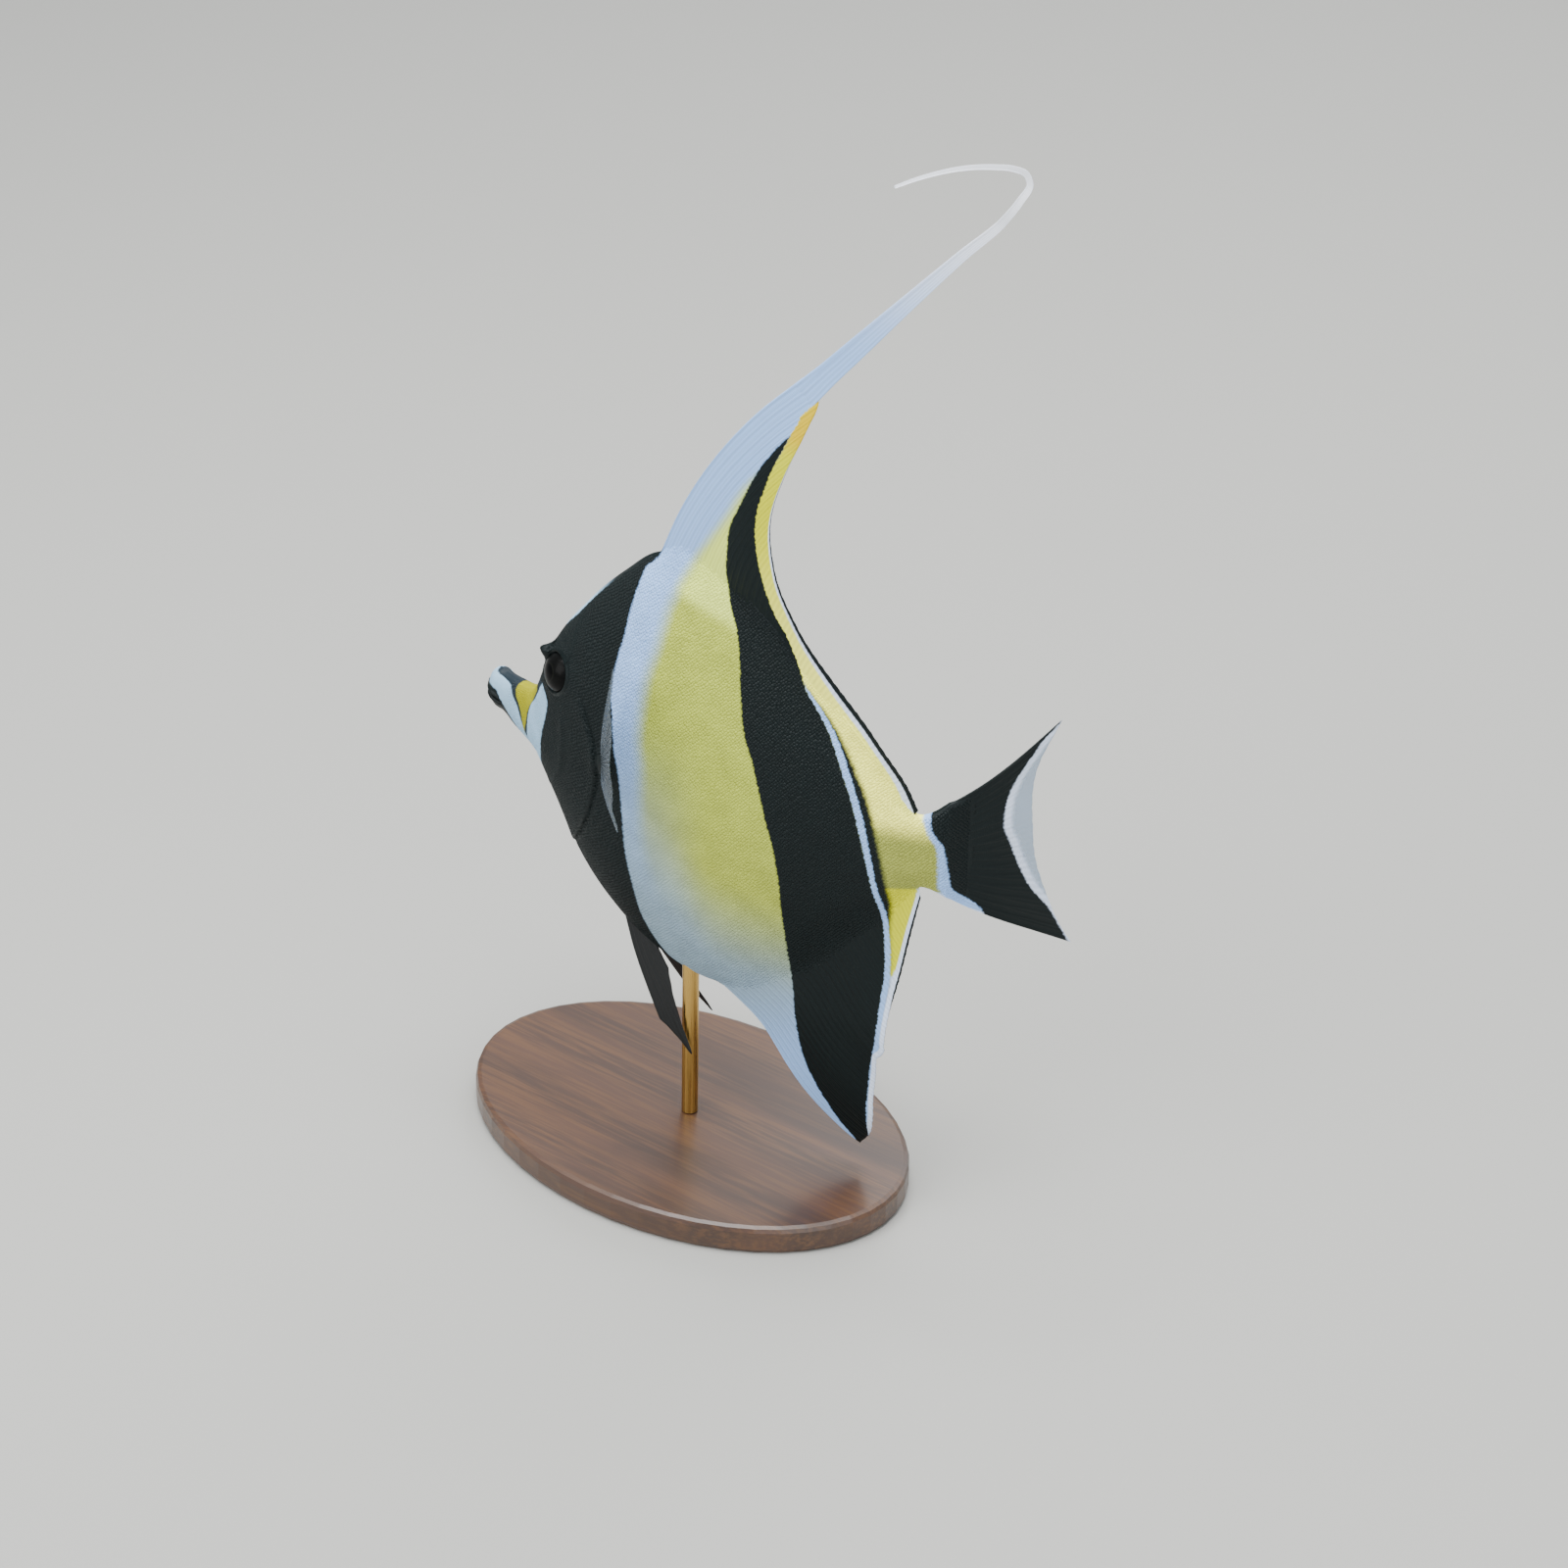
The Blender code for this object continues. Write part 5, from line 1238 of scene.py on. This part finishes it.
class IDOL_OT_stage(bpy.types.Operator):
    """Sets up the floor, soft lights and the camera"""

    bl_idname = "idol.stage"
    bl_label = "Studio"

    def execute(self, context):
        scene = context.scene
        bpy.ops.mesh.primitive_plane_add(size=FLOOR_SIZE)
        floor = context.active_object
        floor.name = "studio_floor"
        floor.data.materials.append(painted_floor())
        for name, place, size, power in LIGHTS:
            lamp = bpy.data.lights.new(name, "AREA")
            lamp.size = size
            lamp.energy = power * scene.idol_stage.light
            made = bpy.data.objects.new(name, lamp)
            made.location = place
            made.rotation_euler = (Vector(LIGHTS_FACE) - made.location).to_track_quat("-Z", "Y").to_euler()
            scene.collection.objects.link(made)
        scene.world = bpy.data.worlds.new("studio_air")
        scene.world.use_nodes = True
        tree = scene.world.node_tree
        feed(tree, tree.nodes["Background"], {"Color": opaque(linear(AIR_COLOUR)), "Strength": AIR_STRENGTH})
        camera = bpy.data.objects.new("photo_camera", bpy.data.cameras.new("photo_camera"))
        azimuth, height, roll = (math.radians(a) for a in VIEW_ANGLES)
        back = Vector((math.sin(azimuth) * math.cos(height), -math.cos(azimuth) * math.cos(height),
                       math.sin(height)))
        camera.location = Vector(VIEW_AIM) + back * VIEW_DISTANCE
        camera.rotation_mode = "QUATERNION"
        tilt = Matrix.Rotation(roll, 3, "Z").to_quaternion()
        camera.rotation_quaternion = back.to_track_quat("Z", "Y") @ tilt
        camera.data.lens = VIEW_LENS
        camera.data.sensor_width = 36
        camera.data.shift_x, camera.data.shift_y = VIEW_SHIFT
        scene.collection.objects.link(camera)
        scene.camera = camera
        return {"FINISHED"}


class IDOL_PT_panel(bpy.types.Panel):
    """Lists the model's steps and settings"""

    bl_label = "Moorish idol"
    bl_idname = "IDOL_PT_panel"
    bl_space_type = "VIEW_3D"
    bl_region_type = "UI"
    bl_category = "Moorish idol"

    def draw(self, context):
        for group in (context.scene.moorish_idol, context.scene.idol_stage):
            for name in group.bl_rna.properties.keys():
                if name not in ("rna_type", "name"):
                    self.layout.prop(group, name)
        for step in STEPS:
            self.layout.operator(step.bl_idname)


STEPS = (IDOL_OT_skin, IDOL_OT_scales, IDOL_OT_upright_fins, IDOL_OT_paired_fins, IDOL_OT_eyes, IDOL_OT_stand,
         IDOL_OT_stage)
CLASSES = (IdolSettings, StageSettings, *STEPS, IDOL_PT_panel)


def register():
    """Makes the settings, steps and panel known to Blender."""
    for made in CLASSES:
        bpy.utils.register_class(made)
    bpy.types.Scene.moorish_idol = PointerProperty(type=IdolSettings)
    bpy.types.Scene.idol_stage = PointerProperty(type=StageSettings)


def unregister():
    """Takes them away again."""
    del bpy.types.Scene.moorish_idol
    del bpy.types.Scene.idol_stage
    for made in reversed(CLASSES):
        bpy.utils.unregister_class(made)


def main():
    """Builds the whole model, step by step."""
    register()
    bpy.ops.idol.skin()
    bpy.ops.idol.scales()
    bpy.ops.idol.upright_fins()
    bpy.ops.idol.paired_fins()
    bpy.ops.idol.eyes()
    bpy.ops.idol.stand()
    bpy.ops.idol.stage()


if __name__ == "__main__":
    main()
